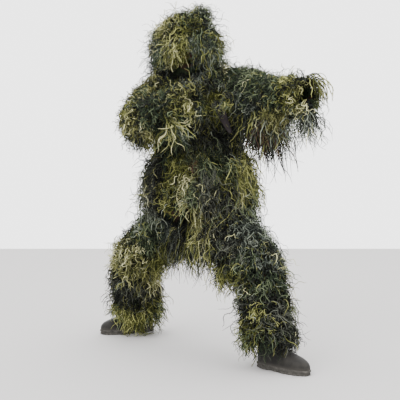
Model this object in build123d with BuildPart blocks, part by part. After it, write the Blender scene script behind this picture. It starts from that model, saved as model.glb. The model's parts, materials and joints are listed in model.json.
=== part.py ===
"""Ghillie suit: a hooded jacket and trousers of camouflage cloth covered in hanging yarn, with boots.

It stands empty in a wide stalking stance, facing -Y, with +Z up and +X to the wearer's left.
The origin is on the ground, in the middle of the suit's own box. Lengths are in millimetres.
"""

from build123d import *
import math
import os

# Cloth, yarn and seams
cloth = 3.0  # base cloth with its net backing
yarn_depth = 38.0  # yarn that stands out from the cloth
layer_gap = 1.5  # air between the cloth and the yarn tied to it
seam_gap = 1.0  # between pieces that meet at a joint
elastic_width = 16.0
elastic_thick = 2.5

# Stance: where the suit turns about the wearer's joints
waist_z = 950.0
neck = Vector(-54, 40, 1370)
shoulder = {"right": Vector(-209, 75, 1265), "left": Vector(186, 50, 1290)}
elbow = {"right": Vector(-319, -185, 1120), "left": Vector(321, -210, 1240)}
wrist = {"right": Vector(-59, -295, 1250), "left": Vector(451, -440, 1265)}
hip = {"right": Vector(-99, 120, 680), "left": Vector(83, 40, 680)}
knee = {"right": Vector(-359, 235, 420), "left": Vector(271, -275, 440)}
ankle = {"right": Vector(-329, 455, 95), "left": Vector(321, -330, 95)}
toe_way = {"right": Vector(-0.94, -0.34, 0), "left": Vector(0.75, -0.66, 0)}
outward = {"right": Vector(-1, 0, 0), "left": Vector(1, 0, 0)}
down = Vector(0, 0, -1)

# Radii of the cloth tubes, and how far the stiff part of each tube stays from its joint
armhole_radius = 76.0
elbow_radius = 62.0
wrist_radius = 50.0
thigh_radius = 93.0
knee_radius = 84.0
ankle_radius = 80.0
shoulder_reach = 88.0
elbow_reach = 122.0
left_elbow_reach = 100.0
hip_reach = 140.0
seat_reach = 105.0
knee_reach = 122.0
hem_reach = 50.0

# Jacket body: half width and half depth at each height, with a straight front for the zip
jacket_front_y = -65.0
jacket_bottom_z = 1000.0
jacket_top_z = 1340.0
jacket_sections = [
    (jacket_bottom_z, 178.0, 145.0),
    (1110.0, 180.0, 145.0),
    (1220.0, 160.0, 130.0),
    (1300.0, 130.0, 110.0),
    (jacket_top_z, 98.0, 92.0),
]
jacket_x = -19.0
side_seam_y = 70.0
armhole_clearance = 1.5
jacket_yarn_gap = 9.0
jacket_yarn_height = 82.0
zip_channel = 44.0

# Skirt of the jacket and seat of the trousers, turned with the hips
hips_centre = (hip["right"] + hip["left"]) * 0.5
hips_turn = math.degrees(math.atan2(hip["left"].Y - hip["right"].Y, hip["left"].X - hip["right"].X))
skirt_bottom_z = 745.0
skirt_top_z = jacket_bottom_z - 4
seat_top_z = 865.0
waistband_top_z = 900.0
seat_half = (206.0, 140.0)
waist_half = (178.0, 132.0)

# Zip: a coil that stands proud of two tapes
tape_width = 15.0
tape_thick = 1.2
coil_width = 5.0
coil_depth = 2.4
zip_bottom_z = jacket_bottom_z + 4
zip_top_z = jacket_top_z - 14
slider_size = (9.6, 5.0, 13.0)
slider_clearance = 0.3
pull_size = (3.6, 1.4, 30.0)
bail_pin_radius = 0.8
bail_clearance = 0.08
ear_radius = 3.6

# Hood: a dome on a short wall, open at the front and at the neck
hood_centre = Vector(-79, 35, 1500)
hood_radius = 128.0
hood_bottom_z = 1402.0
face_half_width = 72.0
face_top_z = 1482.0
tuft_middle = hood_centre + Vector(52, -10, 132)
tuft_radius = 56.0

# Boot: length and width of the outline, and its middle ahead of the ankle, at each height
boot_sections = [
    (26.0, 286.0, 98.0, 72.0),
    (58.0, 262.0, 96.0, 60.0),
    (82.0, 186.0, 92.0, 26.0),
    (106.0, 134.0, 88.0, 4.0),
    (140.0, 114.0, 82.0, 2.0),
]
boot_wall = 4.0
sole_thick = 25.5
sole_edge = 5.0


def save(piece, name):
    """Labels a finished piece and writes it to its own file."""
    piece.part.label = name
    export_step(piece.part, f"parts/{name}.step")


def along(start, end, distance):
    """The point at a distance from start, on the line towards end."""
    return start + (end - start).normalized() * distance


def tube(name, start, end, start_radius, end_radius, thick):
    """A straight tapering sleeve; the radii are its outside ones."""
    way = end - start
    with BuildPart() as piece:
        for inset, how in ((0, Mode.ADD), (thick, Mode.SUBTRACT)):
            with BuildSketch(Plane(origin=start, z_dir=way)):
                Circle(start_radius - inset)
            with BuildSketch(Plane(origin=end, z_dir=way)):
                Circle(end_radius - inset)
            loft(mode=how)
    save(piece, name)


def bend_sweep(joint, before, after, reach):
    """Where a bend starts, the axis it turns about, and by how much."""
    turn = before.get_angle(after)
    sweep_radius = reach / math.tan(math.radians(turn / 2))
    start = joint - before * reach
    inward = (after - before * before.dot(after)).normalized()
    return start, Axis(start + inward * sweep_radius, before.cross(inward)), turn


def bend(name, joint, before, after, reach, radius, thick):
    """A round sleeve that turns about a joint, from the way `before` to the way `after`."""
    start, hub, turn = bend_sweep(joint, before, after, reach)
    with BuildPart() as piece:
        with BuildSketch(Plane(origin=start, z_dir=before)):
            Circle(radius)
            Circle(radius - thick, mode=Mode.SUBTRACT)
        revolve(axis=hub, revolution_arc=turn)
    save(piece, name)


def yarn_sleeve(name, start, end, start_radius, end_radius, sag):
    """The yarn round a cloth tube: thicker below, because it hangs."""
    way = end - start
    level = way.cross(down).normalized()
    hang = level.cross(way).normalized()
    if hang.Z > 0:
        hang = hang * -1
    with BuildPart() as piece:
        for at, radius in ((start, start_radius), (end, end_radius)):
            with BuildSketch(Plane(origin=at + hang * sag, x_dir=level, z_dir=way)):
                Circle(radius + yarn_depth)
        loft()
        for at, radius in ((start, start_radius), (end, end_radius)):
            with BuildSketch(Plane(origin=at, x_dir=level, z_dir=way)):
                Circle(radius + layer_gap)
        loft(mode=Mode.SUBTRACT)
    save(piece, name)


def limb_yarn(name, start, end, start_radius, end_radius, sag, late=4.0):
    """Yarn that starts `late` along its cloth tube and stops just short of its end."""
    inner_start = along(start, end, late)
    inner_end = along(end, start, seam_gap * 4)
    yarn_sleeve(name, inner_start, inner_end, start_radius, end_radius, sag)


def oval_plane(z, middle, turn):
    """A level plane at height z, turned about the vertical."""
    x_dir = (math.cos(math.radians(turn)), math.sin(math.radians(turn)), 0)
    return Plane(origin=(middle.X, middle.Y, z), x_dir=x_dir, z_dir=(0, 0, 1))


def oval_band(name, middle, turn, low, high, thick):
    """An oval sleeve between two levels; each level is (z, half width, half depth) outside."""
    with BuildPart() as piece:
        for inset, how in ((0, Mode.ADD), (thick, Mode.SUBTRACT)):
            for z, half_width, half_depth in (low, high):
                with BuildSketch(oval_plane(z, middle, turn)):
                    Ellipse(half_width - inset, half_depth - inset)
            loft(mode=how)
    save(piece, name)


def jacket_outlines(inset):
    """The jacket's oval outlines, moved in by `inset`, with the front kept straight."""
    outlines = []
    for z, half_width, half_depth in jacket_sections:
        middle_y = jacket_front_y + half_depth
        with BuildSketch(Plane.XY.offset(z)) as outline:
            with Locations((jacket_x, middle_y)):
                Ellipse(half_width - inset, half_depth - inset)
        outlines.append(outline.sketch.face())
    return outlines


def armhole_core(side):
    """What the armhole takes out of the jacket: the shoulder's sleeve, filled and a little fuller."""
    upper_way = (elbow[side] - shoulder[side]).normalized()
    start, hub, turn = bend_sweep(shoulder[side], outward[side], upper_way, shoulder_reach)
    with BuildPart() as core:
        with BuildSketch(Plane(origin=start, z_dir=outward[side])):
            Circle(armhole_radius + armhole_clearance)
        revolve(axis=hub, revolution_arc=turn)
    return core.part


def jacket_panel(name, across, keep_front):
    """One cloth panel of the jacket's body: a front half, or the whole back."""
    seam = Plane(origin=(0, side_seam_y, 0), z_dir=(0, -1 if keep_front else 1, 0))
    with BuildPart() as panel:
        loft(jacket_outlines(0))
        loft(jacket_outlines(cloth), mode=Mode.SUBTRACT)
        for side in ("right", "left"):
            add(armhole_cores[side], mode=Mode.SUBTRACT)
        split(bisect_by=seam, keep=Keep.TOP)
        if across:
            half = Plane(origin=(jacket_x + across, 0, 0), z_dir=(across, 0, 0))
            split(bisect_by=half, keep=Keep.TOP)
    save(panel, name)


def make_jacket():
    """Cloth panels, yarn, collar, skirt and the strap on the chest."""
    jacket_panel("right_front_panel", -2.0, True)
    jacket_panel("left_front_panel", 2.0, True)
    jacket_panel("back_panel", 0, False)

    middle = Vector(jacket_x, jacket_front_y + jacket_sections[0][2], 0)
    half_width, half_depth = jacket_sections[0][1:]
    with BuildPart() as yarn:
        for extra, how in ((yarn_depth, Mode.ADD), (0, Mode.SUBTRACT)):
            with BuildSketch(oval_plane(jacket_bottom_z + 4, middle, 0)):
                Ellipse(half_width + jacket_yarn_gap + extra, half_depth + jacket_yarn_gap + extra)
            extrude(amount=jacket_yarn_height, mode=how)
        front = Plane(origin=(jacket_x, 0, jacket_bottom_z), x_dir=(1, 0, 0), z_dir=(0, -1, 0))
        with BuildSketch(front):
            Rectangle(zip_channel, 3 * jacket_yarn_height)
        extrude(amount=400, mode=Mode.SUBTRACT)
    save(yarn, "jacket_yarn")

    skirt_low = (skirt_bottom_z, 236.0, 176.0)
    skirt_high = (skirt_top_z, 190.0, 152.0)
    oval_band("jacket_skirt", hips_centre, hips_turn, skirt_low, skirt_high, cloth)
    inset = cloth + layer_gap
    band_low = (skirt_bottom_z + 2, skirt_low[1] - inset, skirt_low[2] - inset)
    band_high = (band_low[0] + elastic_width, band_low[1] - 4, band_low[2] - 3)
    oval_band("skirt_hem_band", hips_centre, hips_turn, band_low, band_high, elastic_thick)
    with BuildPart() as skirt_yarn:
        levels = (skirt_low, skirt_high)
        for extra, how in ((yarn_depth, Mode.ADD), (layer_gap, Mode.SUBTRACT)):
            for z, wide, deep in levels:
                with BuildSketch(oval_plane(z, hips_centre, hips_turn)):
                    Ellipse(wide + extra, deep + extra)
            loft(mode=how)
    save(skirt_yarn, "skirt_yarn")

    collar_radius = 92.0
    collar_middle = Vector(neck.X, neck.Y, 0)
    collar_low = (jacket_top_z + 5, collar_radius, collar_radius)
    collar_high = (hood_bottom_z - 5, collar_radius, collar_radius)
    oval_band("collar", collar_middle, 0, collar_low, collar_high, cloth)

    strap_width = 40.0
    strap_length = 140.0
    strap_thick = 2.4
    strap_lean = 22.0
    strap_middle = (106, jacket_front_y - yarn_depth - 14, 1160)
    lean = math.radians(strap_lean)
    strap_plane = Plane(
        origin=strap_middle, x_dir=(math.cos(lean), 0, math.sin(lean)), z_dir=(0.25, -1, 0)
    )
    with BuildPart() as strap:
        with BuildSketch(strap_plane):
            RectangleRounded(strap_width, strap_length, 3)
        extrude(amount=strap_thick)
    save(strap, "chest_strap")


def make_zip():
    """Two tapes, the coil between them, the slider and its pull."""
    length = zip_top_z - zip_bottom_z
    tape_y = jacket_front_y - 0.4
    coil_y = tape_y - tape_thick - 0.1
    with BuildPart() as tapes:
        for side in (-1, 1):
            middle_x = jacket_x + side * (tape_width / 2 + 0.3)
            with BuildSketch(Plane(origin=(middle_x, tape_y, zip_bottom_z), z_dir=(0, 0, 1))):
                with Locations((0, -tape_thick / 2)):
                    Rectangle(tape_width, tape_thick)
            extrude(amount=length)
    save(tapes, "zip_tapes")

    with BuildPart() as coil:
        with BuildSketch(Plane(origin=(jacket_x, coil_y, zip_bottom_z), z_dir=(0, 0, 1))):
            with Locations((0, -coil_depth / 2)):
                Rectangle(coil_width, coil_depth)
        extrude(amount=length)
        fillet(coil.edges().filter_by(Axis.Z), 0.6)
    save(coil, "zip_coil")

    wide, deep, tall = slider_size
    back_y = coil_y - 0.1
    channel = (coil_width + 2 * slider_clearance, coil_depth + slider_clearance)
    slider_z = zip_top_z - 22
    pin_y = back_y - deep - bail_pin_radius - 1.2
    pin_z = slider_z + tall / 2
    ear_gap = pull_size[0] + 0.5
    with BuildPart() as slider:
        with BuildSketch(Plane(origin=(jacket_x, back_y, slider_z), z_dir=(0, 0, 1))):
            with Locations((0, -deep / 2)):
                Rectangle(wide, deep)
            with Locations((0, -channel[1] / 2)):
                Rectangle(channel[0], channel[1], mode=Mode.SUBTRACT)
        extrude(amount=tall)
        for side in (-1, 1):
            ear_x = jacket_x + side * ear_gap / 2
            with BuildSketch(Plane(origin=(ear_x, back_y - deep, pin_z), z_dir=(side, 0, 0))):
                Circle(ear_radius)
            extrude(amount=1.2)
        with BuildSketch(Plane(origin=(jacket_x - ear_gap / 2, pin_y, pin_z), z_dir=(1, 0, 0))):
            Circle(bail_pin_radius)
        extrude(amount=ear_gap)
        with BuildSketch(Plane(origin=(jacket_x, back_y + 4, slider_z), z_dir=(0, 0, 1))):
            Rectangle(wide * 2, 8)
            with Locations((0, -4 - channel[1] / 2)):
                Rectangle(channel[0], channel[1])
        extrude(amount=tall, mode=Mode.SUBTRACT)
    save(slider, "zip_slider")

    pull_wide, pull_thick, pull_long = pull_size
    eye_radius = bail_pin_radius + 1.1
    with BuildPart() as pull:
        with BuildSketch(Plane(origin=(jacket_x - pull_wide / 2, pin_y, pin_z), z_dir=(1, 0, 0))):
            Circle(eye_radius)
        extrude(amount=pull_wide)
        tab_middle = Vector(jacket_x, pin_y, pin_z - pull_long / 2)
        with BuildSketch(Plane(origin=tab_middle, x_dir=(1, 0, 0), z_dir=(0, 1, 0))):
            Rectangle(pull_wide, pull_long)
        extrude(amount=pull_thick / 2, both=True)
        with BuildSketch(Plane(origin=(jacket_x - pull_wide, pin_y, pin_z), z_dir=(1, 0, 0))):
            Circle(bail_pin_radius + bail_clearance)
        extrude(amount=2 * pull_wide, mode=Mode.SUBTRACT)
    save(pull, "zip_pull")
    return Vector(jacket_x, pin_y, pin_z)


def dome_profile(radius, bottom_z):
    """Half outline of the hood's dome and wall, for turning about the hood's axis."""
    plane = Plane(origin=hood_centre, x_dir=(1, 0, 0), z_dir=(0, -1, 0))
    drop = bottom_z - hood_centre.Z
    with BuildSketch(plane) as outline:
        with BuildLine():
            Line((0, drop), (radius * 0.94, drop))
            Line((radius * 0.94, drop), (radius, 0))
            RadiusArc((radius, 0), (0, radius), -radius)
            Line((0, radius), (0, drop))
        make_face()
    return outline.sketch.face()


def hood_layer(outside, inside, bottom_z):
    """A hollow dome between two radii."""
    axis = Axis(hood_centre, (0, 0, 1))
    revolve(dome_profile(outside, bottom_z), axis=axis)
    revolve(dome_profile(inside, bottom_z - 1), axis=axis, mode=Mode.SUBTRACT)


def face_cut(half_width, top_z, bottom_z, how):
    """The face opening's outline, taken forwards from the hood's middle."""
    height = top_z - bottom_z
    middle = Vector(hood_centre.X, hood_centre.Y - 40, (top_z + bottom_z) / 2)
    with BuildSketch(Plane(origin=middle, x_dir=(1, 0, 0), z_dir=(0, -1, 0))) as outline:
        RectangleRounded(2 * half_width, height, 18)
    extrude(outline.sketch.face(), amount=220, mode=how)


def make_hood():
    """Cloth dome, brim, veil, yarn and the tuft on top."""
    below = hood_bottom_z - 60
    with BuildPart() as hood:
        hood_layer(hood_radius, hood_radius - cloth, hood_bottom_z)
        face_cut(face_half_width, face_top_z, below, Mode.SUBTRACT)
    save(hood, "hood_fabric")

    brim_depth = 4.0
    brim_width = 12.0
    brim_inner = hood_radius + 0.6
    with BuildPart() as brim:
        hood_layer(brim_inner + brim_depth, brim_inner, hood_bottom_z)
        face_cut(face_half_width + brim_width, face_top_z + brim_width, below, Mode.INTERSECT)
        face_cut(face_half_width - 1, face_top_z - 1, below, Mode.SUBTRACT)
    save(brim, "hood_brim")

    veil_radius = hood_radius - cloth - 1.5
    with BuildPart() as veil:
        hood_layer(veil_radius, veil_radius - 1.5, hood_bottom_z + 30)
        face_cut(face_half_width + 14, face_top_z + 14, hood_bottom_z + 32, Mode.INTERSECT)
    save(veil, "face_veil")

    with BuildPart() as yarn:
        yarn_inner = hood_radius + brim_depth + 2.5
        hood_layer(yarn_inner + yarn_depth, yarn_inner, hood_bottom_z + 6)
        face_cut(face_half_width + 8, face_top_z - 6, below, Mode.SUBTRACT)
        with BuildSketch(Plane(origin=tuft_middle, z_dir=(0, 0, 1))):
            Circle(tuft_radius + layer_gap)
        extrude(amount=200, both=True, mode=Mode.SUBTRACT)
    save(yarn, "hood_yarn")

    with BuildPart() as tuft:
        with BuildSketch(Plane(origin=tuft_middle - Vector(0, 0, 34), z_dir=(0, 0, 1))):
            Circle(tuft_radius)
        extrude(amount=66)
        fillet(tuft.edges(), 14)
        with BuildSketch(Plane(origin=hood_centre, x_dir=(1, 0, 0), z_dir=(0, -1, 0))):
            with BuildLine():
                Line((0, 0), (hood_radius + 3, 0))
                RadiusArc((hood_radius + 3, 0), (0, hood_radius + 3), -(hood_radius + 3))
                Line((0, hood_radius + 3), (0, 0))
            make_face()
        revolve(axis=Axis(hood_centre, (0, 0, 1)), mode=Mode.SUBTRACT)
    save(tuft, "hood_tuft")


def hanging_lump(name, middle, half_x, half_y, half_z):
    """A tuft of yarn that hangs free: a rounded block."""
    with BuildPart() as lump:
        with BuildSketch(Plane(origin=middle - Vector(0, 0, half_z), z_dir=(0, 0, 1))):
            Ellipse(half_x, half_y)
        extrude(amount=2 * half_z)
        fillet(lump.edges(), min(half_x, half_y) * 0.45)
    save(lump, name)


def make_tufts():
    """Larger bunches that hang away from the sleeves and between the legs."""
    hanging_lump("crotch_tuft", Vector(-1, 30, 530), 42, 30, 85)
    hanging_lump("right_elbow_tuft", elbow["right"] + Vector(33, 12, -82), 38, 34, 44)
    cuff = wrist["left"]
    with BuildPart() as plume:
        with BuildSketch(Plane(origin=cuff + Vector(38, -28, -180), z_dir=(0, 0, 1))):
            Ellipse(56, 46)
        extrude(amount=205)
        fillet(plume.edges(), 18)
        way = (cuff - elbow["left"]).normalized()
        with BuildSketch(Plane(origin=elbow["left"], z_dir=way)):
            Circle(wrist_radius + yarn_depth + 20)
        extrude(amount=(cuff - elbow["left"]).length + 8, mode=Mode.SUBTRACT)
    save(plume, "left_cuff_tuft")

    arm = elbow["left"] - shoulder["left"]
    level_way = Vector(arm.X, arm.Y, 0).normalized()
    curtain_top = 1130.0
    curtain_bottom = 955.0
    curtain_length = 190.0
    curtain_start = shoulder["left"] + level_way * 92
    with BuildPart() as curtain:
        plane_origin = (curtain_start.X, curtain_start.Y, curtain_bottom)
        with BuildSketch(Plane(origin=plane_origin, x_dir=level_way, z_dir=(0, 0, 1))):
            with Locations((curtain_length / 2, 0)):
                SlotOverall(curtain_length, 32)
        extrude(amount=curtain_top - curtain_bottom)
    save(curtain, "left_sleeve_curtain")


def make_arm(side):
    """Armhole, upper sleeve, elbow, forearm, cuff elastic and the yarn on them."""
    upper_way = (elbow[side] - shoulder[side]).normalized()
    lower_way = (wrist[side] - elbow[side]).normalized()
    reach = elbow_reach if side == "right" else left_elbow_reach
    bend(
        f"{side}_shoulder_fabric", shoulder[side], outward[side], upper_way,
        shoulder_reach - seam_gap, armhole_radius, cloth,
    )
    upper_start = shoulder[side] + upper_way * shoulder_reach
    upper_end = elbow[side] - upper_way * reach
    tube(f"{side}_upper_sleeve_fabric", upper_start, upper_end, armhole_radius, elbow_radius, cloth)
    limb_yarn(
        f"{side}_upper_sleeve_yarn", upper_start, upper_end, armhole_radius, elbow_radius, 4, 46
    )
    bend(
        f"{side}_elbow_fabric", elbow[side], upper_way, lower_way,
        reach - seam_gap, elbow_radius, cloth,
    )
    lower_start = elbow[side] + lower_way * reach
    tube(f"{side}_forearm_fabric", lower_start, wrist[side], elbow_radius, wrist_radius, cloth)
    yarn_end = wrist[side] - lower_way * (elastic_width + 4)
    limb_yarn(f"{side}_forearm_yarn", lower_start, yarn_end, elbow_radius, wrist_radius + 3, 12)
    cuff_radius = wrist_radius + elastic_thick + 2
    cuff_start = wrist[side] - lower_way * (elastic_width + 2)
    cuff_end = wrist[side] - lower_way * 2
    tube(f"{side}_cuff_elastic", cuff_start, cuff_end, cuff_radius + 1, cuff_radius, elastic_thick)


def make_leg(side):
    """Hip, thigh, knee, shin, hem elastic and the yarn on them."""
    upper_way = (knee[side] - hip[side]).normalized()
    lower_way = (ankle[side] - knee[side]).normalized()
    hip_tangent = seat_reach - seam_gap
    bend(f"{side}_hip_fabric", hip[side], down, upper_way, hip_tangent, thigh_radius, cloth)
    upper_start = hip[side] + upper_way * hip_reach
    upper_end = knee[side] - upper_way * knee_reach
    tube(f"{side}_thigh_fabric", upper_start, upper_end, thigh_radius, knee_radius, cloth)
    limb_yarn(f"{side}_thigh_yarn", upper_start, upper_end, thigh_radius, knee_radius, 16)
    knee_tangent = knee_reach - seam_gap
    bend(f"{side}_knee_fabric", knee[side], upper_way, lower_way, knee_tangent, knee_radius, cloth)
    lower_start = knee[side] + lower_way * knee_reach
    lower_end = ankle[side] - lower_way * hem_reach
    tube(f"{side}_shin_fabric", lower_start, lower_end, knee_radius, ankle_radius, cloth)
    yarn_end = ankle[side] - lower_way * (hem_reach + 12)
    limb_yarn(f"{side}_shin_yarn", lower_start, yarn_end, knee_radius, ankle_radius, 10)
    band_radius = ankle_radius - cloth - 1.0
    band_start = ankle[side] - lower_way * (hem_reach + elastic_width + 2)
    band_end = ankle[side] - lower_way * (hem_reach + 2)
    tube(f"{side}_hem_elastic", band_start, band_end, band_radius, band_radius - 0.2, elastic_thick)


def boot_outlines(side, inset, lift):
    """The boot's slot-shaped outlines, moved in by `inset`, the lowest lifted by `lift`."""
    outlines = []
    for level, (z, length, width, ahead) in enumerate(boot_sections):
        if level == 0:
            z = z + lift
        origin = Vector(ankle[side].X, ankle[side].Y, z) + toe_way[side].normalized() * ahead
        with BuildSketch(Plane(origin=origin, x_dir=toe_way[side], z_dir=(0, 0, 1))) as outline:
            SlotOverall(length - 2 * inset, width - 2 * inset)
        outlines.append(outline.sketch.face())
    return outlines


def make_boot(side):
    """Upper, outsole and insole."""
    with BuildPart() as upper:
        loft(boot_outlines(side, 0, 0))
        loft(boot_outlines(side, boot_wall, 3), mode=Mode.SUBTRACT)
    save(upper, f"{side}_boot_upper")

    low_z, length, width, ahead = boot_sections[0]
    toe = toe_way[side].normalized()
    middle = Vector(ankle[side].X, ankle[side].Y, 0) + toe * ahead
    with BuildPart() as sole:
        with BuildSketch(Plane(origin=middle, x_dir=toe, z_dir=(0, 0, 1))):
            SlotOverall(length + 2 * sole_edge, width + 2 * sole_edge)
        extrude(amount=sole_thick)
        fillet(sole.faces().sort_by(Axis.Z)[-1].edges(), 3)
        waist_start = middle - toe * 42
        with BuildSketch(Plane(origin=waist_start, x_dir=toe, z_dir=(0, 0, 1))):
            Rectangle(44, width * 2)
        extrude(amount=7, mode=Mode.SUBTRACT)
    save(sole, f"{side}_boot_sole")

    insole_z = low_z + 3.2
    origin = Vector(middle.X, middle.Y, insole_z)
    with BuildPart() as insole:
        with BuildSketch(Plane(origin=origin, x_dir=toe, z_dir=(0, 0, 1))):
            SlotOverall(length - 4 * boot_wall, width - 4 * boot_wall)
        extrude(amount=4)
    save(insole, f"{side}_boot_insole")


def make_seat():
    """The trousers' seat and their elastic waistband."""
    seat_low = (hip["right"].Z + seat_reach, seat_half[0], seat_half[1])
    seat_high = (seat_top_z, waist_half[0], waist_half[1])
    oval_band("seat_fabric", hips_centre, hips_turn, seat_low, seat_high, cloth)
    band_low = (seat_top_z + 0.5, waist_half[0] + 1, waist_half[1] + 1)
    band_high = (waistband_top_z, waist_half[0] - 4, waist_half[1] - 4)
    oval_band("waistband", hips_centre, hips_turn, band_low, band_high, cloth + 2)


os.makedirs("parts", exist_ok=True)
armhole_cores = {side: armhole_core(side) for side in ("right", "left")}
make_seat()
make_jacket()
bail_centre = make_zip()
make_hood()
for side in ("right", "left"):
    make_arm(side)
    make_leg(side)
    make_boot(side)
make_tufts()
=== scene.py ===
"""The looks of the ghillie suit: camouflage cloth, thousands of hanging yarn strands, straps and boots.

Everything is in metres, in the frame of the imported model. "right" and "left" are the wearer's sides,
so right is at -X, which the camera sees at the left of the picture.
"""

import json
import math
from itertools import product

import bpy
import numpy as np
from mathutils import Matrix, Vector


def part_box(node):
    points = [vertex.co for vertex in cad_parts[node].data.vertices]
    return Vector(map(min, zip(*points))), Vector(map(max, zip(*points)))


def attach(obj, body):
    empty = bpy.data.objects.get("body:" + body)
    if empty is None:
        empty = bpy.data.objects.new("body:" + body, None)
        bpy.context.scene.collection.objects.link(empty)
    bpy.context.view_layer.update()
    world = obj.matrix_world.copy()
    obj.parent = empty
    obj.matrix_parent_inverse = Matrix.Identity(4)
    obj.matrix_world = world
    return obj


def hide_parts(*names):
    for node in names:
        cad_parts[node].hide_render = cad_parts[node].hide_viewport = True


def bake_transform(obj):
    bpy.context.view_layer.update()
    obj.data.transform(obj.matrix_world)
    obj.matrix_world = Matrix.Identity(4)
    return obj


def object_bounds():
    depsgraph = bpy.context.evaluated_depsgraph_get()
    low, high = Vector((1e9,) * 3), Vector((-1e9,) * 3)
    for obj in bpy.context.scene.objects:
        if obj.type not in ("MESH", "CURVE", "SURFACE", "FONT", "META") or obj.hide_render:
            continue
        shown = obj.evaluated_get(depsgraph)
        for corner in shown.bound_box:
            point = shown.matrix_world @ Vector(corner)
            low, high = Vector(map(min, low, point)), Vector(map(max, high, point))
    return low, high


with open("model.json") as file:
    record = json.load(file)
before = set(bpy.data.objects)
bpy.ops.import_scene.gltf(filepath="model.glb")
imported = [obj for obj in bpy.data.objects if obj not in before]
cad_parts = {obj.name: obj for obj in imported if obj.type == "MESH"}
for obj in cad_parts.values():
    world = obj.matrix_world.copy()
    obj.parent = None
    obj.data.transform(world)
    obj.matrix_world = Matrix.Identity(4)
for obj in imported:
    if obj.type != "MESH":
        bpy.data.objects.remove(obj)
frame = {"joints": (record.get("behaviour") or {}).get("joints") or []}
cad_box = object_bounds()
rng = np.random.default_rng(11)

SIDES = ("right", "left")
OUTWARD = {"right": np.array((-1.0, 0, 0)), "left": np.array((1.0, 0, 0))}
UP = np.array((0.0, 0, 1.0))

CLOTH_THICKNESS = 0.0018
STRAND_SIDES = 4
STRAND_RADIUS = 0.0015
STRAY_SHARE = 0.12  # strands of a clump that are of another kind
FACES_PER_PIECE = 190_000
SMALLEST_BATCH = 40  # strands; with room for fewer, the next piece is started
BURIED = -0.02  # a tie deeper than this inside a neighbouring part gets no yarn
BUNCH_STRANDS = 34  # the clump size that the bunches' own strand counts are meant for
CLUMP_SPACING = 0.044
CLUMP_STRANDS = 31
UNDERCOAT_PER_MM2 = 0.0065


# ---------------------------------------------------------------- skeleton, from the frame
joints = {j["name"]: j for j in frame["joints"]}


def joint_at(name):
    """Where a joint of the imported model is."""
    return np.array(joints[name]["pos_m"], float)


def box_of(node):
    """The low and high corners of a CAD node's box."""
    low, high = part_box(node)
    return np.array(low), np.array(high)


def middle_of(node):
    """The middle of a CAD node's box."""
    low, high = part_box(node)
    return np.array((low + high) / 2)


def unit(vector):
    """A vector, or each row of an array, at length one."""
    vector = np.asarray(vector, float)
    return vector / np.maximum(np.linalg.norm(vector, axis=-1, keepdims=True), 1e-9)


def full_turn(count):
    """Evenly spaced angles round a circle."""
    return np.linspace(0, 2 * math.pi, count, endpoint=False)


shoulder = {s: joint_at(f"{s}_shoulder_raise") for s in SIDES}
elbow = {s: joint_at(f"{s}_elbow") for s in SIDES}
wrist = {s: middle_of(f"{s}_cuff_elastic") for s in SIDES}
hip = {s: joint_at(f"{s}_hip_swing") for s in SIDES}
knee = {s: joint_at(f"{s}_knee") for s in SIDES}
ankle = {s: joint_at(f"{s}_ankle") for s in SIDES}
neck = joint_at("hood_turn")
waist = joint_at("waist_lean")
hood_low, hood_high = box_of("hood_fabric")
hood_radius = (hood_high[0] - hood_low[0]) / 2
hood_middle = (hood_low + hood_high) / 2
hood_middle[2] = hood_high[2] - hood_radius
skirt_low = box_of("jacket_skirt")[0]
panel_low, panel_high = box_of("right_front_panel")
jacket_x = middle_of("zip_coil")[0]
jacket_front = panel_low[1]
hips_middle = (hip["right"] + hip["left"]) / 2
hips_way = unit((hip["left"] - hip["right"]) * (1, 1, 0))


# ---------------------------------------------------------------- tube paths through the joints
def rounded_path(points, reaches, step=0.012):
    """Evenly spaced points along straight runs, each corner rounded over its reach."""
    out = [points[0]]
    for i in range(1, len(points) - 1):
        corner, reach = points[i], reaches[i - 1]
        enter = corner + unit(points[i - 1] - corner) * reach
        leave = corner + unit(points[i + 1] - corner) * reach
        t = np.linspace(0, 1, 15)[:, None]
        arc = (1 - t) ** 2 * enter + 2 * t * (1 - t) * corner + t ** 2 * leave
        out.extend(arc)
    out.append(points[-1])
    out = np.array(out)
    lengths = np.r_[0, np.cumsum(np.linalg.norm(np.diff(out, axis=0), axis=1))]
    count = max(4, int(round(lengths[-1] / step)) + 1)
    at = np.linspace(0, lengths[-1], count)
    return np.column_stack([np.interp(at, lengths, out[:, k]) for k in range(3)]), at / lengths[-1]


def arm_path(side):
    """Centre points and radii of a sleeve, from inside the armhole to the cuff."""
    start = shoulder[side] - OUTWARD[side] * 0.105
    end = wrist[side] + unit(wrist[side] - elbow[side]) * 0.012
    path, u = rounded_path([start, shoulder[side], elbow[side], end], [0.088, 0.115])
    radii = np.interp(u, [0, 0.25, 0.6, 1], [0.076, 0.076, 0.064, 0.052])
    return path, radii


def leg_path(side):
    """Centre points and radii of a trouser leg, from the seat to the hem."""
    start = hip[side] + UP * 0.105
    end = ankle[side] + unit(knee[side] - ankle[side]) * 0.052
    path, u = rounded_path([start, hip[side], knee[side], end], [0.105, 0.12])
    radii = np.interp(u, [0, 0.2, 0.6, 1], [0.093, 0.094, 0.086, 0.082])
    return path, radii


arm_paths = {s: arm_path(s) for s in SIDES}
leg_paths = {s: leg_path(s) for s in SIDES}

# The jacket's body: height, half width, half depth, how much of the hips' turn it has, and its middle
TORSO_LEVELS = [
    (skirt_low[2], 0.236, 0.176, 1.0),
    (0.86, 0.212, 0.163, 1.0),
    (0.95, 0.19, 0.152, 0.6),
    (1.0, 0.178, 0.145, 0.0),
    (1.11, 0.18, 0.145, 0.0),
    (1.22, 0.16, 0.13, 0.0),
    (1.3, 0.13, 0.11, 0.0),
    (panel_high[2], 0.098, 0.092, 0.0),
]


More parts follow.
